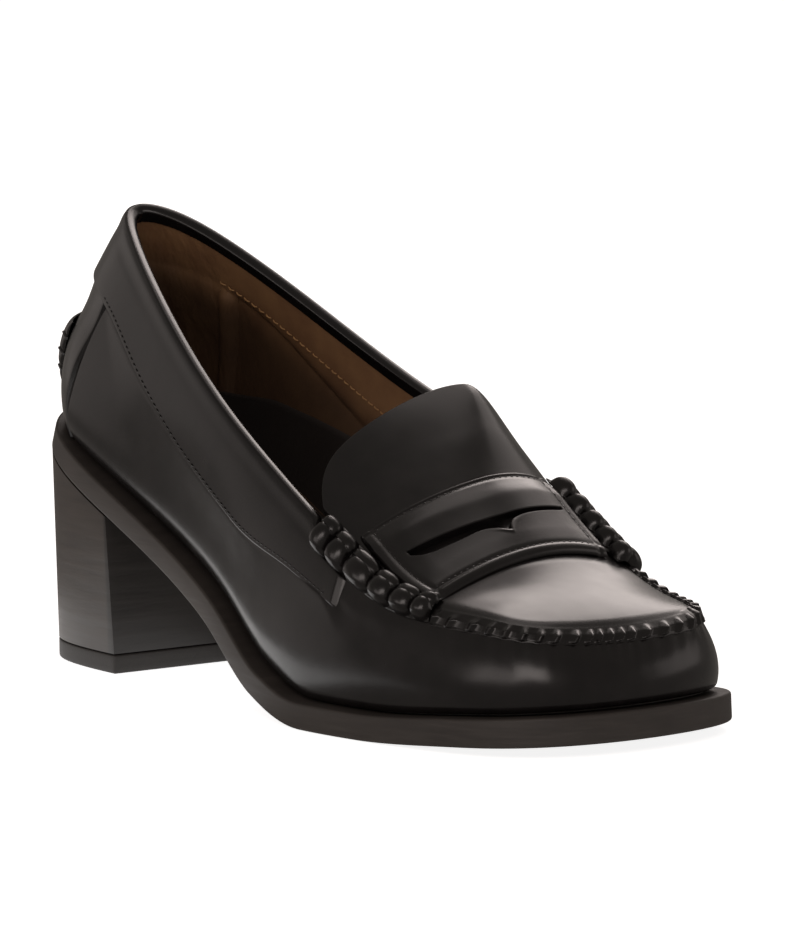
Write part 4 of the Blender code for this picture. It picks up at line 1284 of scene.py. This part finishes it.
# Bounce card: a small sheet of lit white card that lies on the floor beside the heel and arch.
# It shows only in the shine of the shoe.
CARD_MIDDLE, CARD_SIZE = (-0.096, -0.0685, -0.0001), (0.19, 0.16, 1.0, 1.0)
bpy.ops.mesh.primitive_plane_add(size=1.0, location=(0.0, 0.0, 0.0))
card = bpy.context.object
card.name = "bounce_card"
card.data.transform(Matrix.Translation(CARD_MIDDLE) @ Matrix.Diagonal(CARD_SIZE))
lit_card, tree = blank("lit_white_card")
shader = node(tree, "ShaderNodeBsdfPrincipled", {
    "Base Color": tint("#f8f8f8"), "Roughness": 0.9,
    "Emission Color": tint("#ffffff"), "Emission Strength": 1.05})
node(tree, "ShaderNodeOutputMaterial", {"Surface": shader.outputs["BSDF"]})
card.data.materials.append(lit_card)
card.visible_camera = card.visible_diffuse = card.visible_shadow = False

LIGHTS = [
    # name, degrees round from the toe towards the inner side, degrees up, width, height, watts
    ("back_box", 132.0, 34.0, 0.95, 1.2, 11.3),
    ("top_box", 136.0, 63.0, 1.0, 0.6, 1.3),
    ("side_box", 105.0, 36.0, 1.0, 1.2, 2.5),
    ("key_box", -42.0, 31.0, 1.7, 0.8, 12.6),
    ("left_box", -85.0, 23.0, 2.2, 0.7, 7.0),
    ("heel_box", -160.0, 10.0, 2.2, 1.0, 1.9),
    ("right_box", 62.0, 14.0, 1.2, 1.0, 2.6),
]
LIGHT_AWAY = 2.5
for name, turn, rise, width, height, power in LIGHTS:
    turn, rise = math.radians(turn), math.radians(rise)
    level = LIGHT_AWAY * math.cos(rise)
    bpy.ops.object.light_add(type="AREA", location=(
        level * math.cos(turn), level * math.sin(turn), LIGHT_AWAY * math.sin(rise)))
    box = bpy.context.object
    box.name = box.data.name = name
    box.data.shape, box.data.size, box.data.size_y, box.data.energy = "RECTANGLE", width, height, power
    box.data.color = tint("#fff3ee")[:3]
    box.rotation_euler = (0.5 * math.pi - rise, 0.0, turn + 0.5 * math.pi)

world = bpy.data.worlds.new("studio_air")
world.use_nodes = True
world.node_tree.nodes["Background"].inputs["Color"].default_value = tint("#fff4ea")
world.node_tree.nodes["Background"].inputs["Strength"].default_value = 0.2
bpy.context.scene.world = world
bpy.context.scene.view_settings.view_transform = "Standard"

# Camera: a long lens at the photograph's angle to the shoe, rolled a little.
CAMERA_TURN, CAMERA_RISE, CAMERA_ROLL = np.radians([54.008, 6.99, -0.6])
CAMERA_AWAY, CAMERA_LENS = 1.902, 284.88
CAMERA_AIM = (np.array([137.88, -0.865, 59.38]) - SHOE_MIDDLE) * 0.001
level = math.cos(CAMERA_RISE)
back = np.array([math.sin(CAMERA_TURN) * level, -math.cos(CAMERA_TURN) * level, math.sin(CAMERA_RISE)])
upright = Euler((0.5 * math.pi - CAMERA_RISE, 0.0, CAMERA_TURN)).to_matrix()
rolled = upright @ Matrix.Rotation(CAMERA_ROLL, 3, "Z")
bpy.ops.object.camera_add(location=CAMERA_AIM + CAMERA_AWAY * back, rotation=rolled.to_euler())
camera = bpy.context.object
camera.data.lens, camera.data.sensor_width = CAMERA_LENS, 36.0
camera.data.clip_start, camera.data.clip_end = 0.05, 60.0
bpy.context.scene.camera = camera
